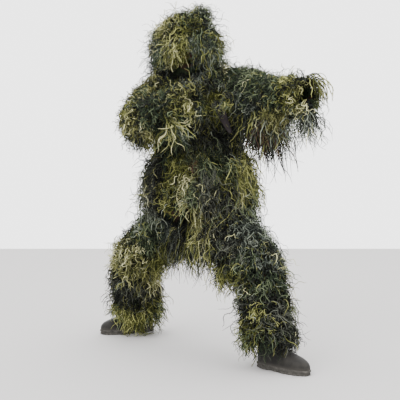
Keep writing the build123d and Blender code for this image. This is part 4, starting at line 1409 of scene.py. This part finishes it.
def add_boot(side):
    """Leather upper with a toe cap and a welt, a lugged sole with a rand, and the insole."""
    toe = TOE_WAY[side]
    table = np.array(UPPER_LEVELS)
    at = np.linspace(0, len(table) - 1, 46)
    levels = np.column_stack([np.interp(at, np.arange(len(table)), table[:, k]) for k in range(4)])
    for _ in range(3):
        levels[1:-1] = (levels[:-2] + 2 * levels[1:-1] + levels[2:]) / 4
    rings = boot_rings(side, levels)
    ahead = (rings - ankle[side]) @ toe
    outward = unit((rings - rings.mean(1, keepdims=True)) * (1, 1, 0))
    cap = 1 / (1 + np.exp(-(ahead - 0.150) / 0.0016)) * 0.0014
    creases = [deep * np.exp(-((ahead - at) / wide) ** 2) for deep, at, wide in BOOT_CREASES]
    high = np.clip((rings[..., 2] - 0.05) / 0.02, 0, 1)
    rings = rings + outward * (cap - sum(creases) * high)[..., None]
    upper = thicken(ring_piece(f"{side}_boot_shaped_upper", rings, leather), 0.0026)
    finish_piece(upper, f"{side}_boot", "boot_leather", f"{side}_boot_upper")

    rings = boot_rings(side, SOLE_LEVELS, 144)
    lug = np.where(np.cos(full_turn(144) * 26) > -0.2, 0.0, 0.0032)
    inward = unit((rings.mean(1, keepdims=True) - rings) * (1, 1, 0))
    rings[1:7] = rings[1:7] + inward[1:7] * lug[None, :, None]
    arch = 0.006 * np.exp(-(((rings - ankle[side]) @ toe - 0.030) / 0.018) ** 2)
    rings[:6, :, 2] += arch[:6]
    sole = ring_piece(f"{side}_boot_lugged_sole", rings, rubber, smooth=False)
    finish_piece(sole, f"{side}_boot", "boot_rubber", f"{side}_boot_sole")

    insole = ring_piece(f"{side}_boot_footbed", boot_rings(side, INSOLE_LEVELS), felt)
    finish_piece(insole, f"{side}_boot", "insole_felt", f"{side}_boot_insole")


bands = add_elastics()
add_seat()
add_strap()
bands["hood"] = [add_veil_and_brim()]
add_zip()
for side in SIDES:
    add_boot(side)


for region, piece in cloths.items():
    join_body(piece, region)

# which CAD solids each region's looks stand for
STANDS_FOR = {
    "jacket": ["right_front_panel", "left_front_panel", "back_panel", "jacket_yarn"],
    "skirt": ["jacket_skirt", "skirt_yarn", "skirt_hem_band"],
    "collar": ["collar"],
    "hood": ["hood_fabric", "hood_yarn", "hood_tuft"],
}
LIMB_NODES = {
    "armhole": ["shoulder_fabric"],
    "upper_sleeve": ["upper_sleeve_fabric", "upper_sleeve_yarn"],
    "forearm": ["elbow_fabric", "forearm_fabric", "forearm_yarn"],
    "hip": ["hip_fabric"],
    "thigh": ["thigh_fabric", "thigh_yarn"],
    "shin": ["knee_fabric", "shin_fabric", "shin_yarn"],
}
for side in SIDES:
    for part, nodes in LIMB_NODES.items():
        STANDS_FOR[f"{side}_{part}"] = [f"{side}_{node}" for node in nodes]
STANDS_FOR["right_upper_sleeve"].append("right_elbow_tuft")
STANDS_FOR["left_upper_sleeve"].append("left_sleeve_curtain")
STANDS_FOR["left_forearm"].append("left_cuff_tuft")
STANDS_FOR["right_thigh"].append("crotch_tuft")
for region, nodes in STANDS_FOR.items():
    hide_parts(*nodes)


# ---------------------------------------------------------------- camera, light and floor
def make_stage():
    """A pale floor, soft light from all round and a little more from above."""
    bpy.ops.mesh.primitive_plane_add(size=12, location=(0, -2.5, 0))
    floor = bpy.context.object
    floor.name = "floor"
    made, _, shader, _ = material("floor_pale", 0.9)
    shader.inputs["Base Color"].default_value = (0.40, 0.39, 0.385, 1)
    floor.data.materials.append(made)
    world = bpy.data.worlds.new("studio")
    world.use_nodes = True
    world.node_tree.nodes["Background"].inputs["Color"].default_value = (1.0, 1.0, 1.0, 1)
    world.node_tree.nodes["Background"].inputs["Strength"].default_value = 3.5
    bpy.context.scene.world = world
    for name, place, size, power in (
        ("key", (-2.4, -3.6, 4.2), 3.0, 190.0),
        ("fill", (3.2, -3.0, 2.6), 3.0, 80.0),
        ("top", (0.3, 1.2, 4.6), 3.5, 130.0),
    ):
        light = bpy.data.lights.new(name, "AREA")
        light.size = size
        light.energy = power
        lamp = bpy.data.objects.new(name, light)
        bpy.context.collection.objects.link(lamp)
        lamp.location = place
        lamp.rotation_euler = (Vector((0, 0, 0.9)) - Vector(place)).to_track_quat("-Z", "Y").to_euler()


def make_camera():
    """Eye-height view from the front, with the long lens that the proportions ask for."""
    camera = bpy.data.cameras.new("camera")
    camera.lens = 99.9
    camera.sensor_width = 36
    camera.clip_end = 60
    eye = bpy.data.objects.new("camera", camera)
    bpy.context.collection.objects.link(eye)
    eye.location = (-0.009, -5.385, 1.3)
    eye.rotation_euler = (math.radians(90 - 5.81), 0, 0)
    bpy.context.scene.camera = eye


make_stage()
make_camera()
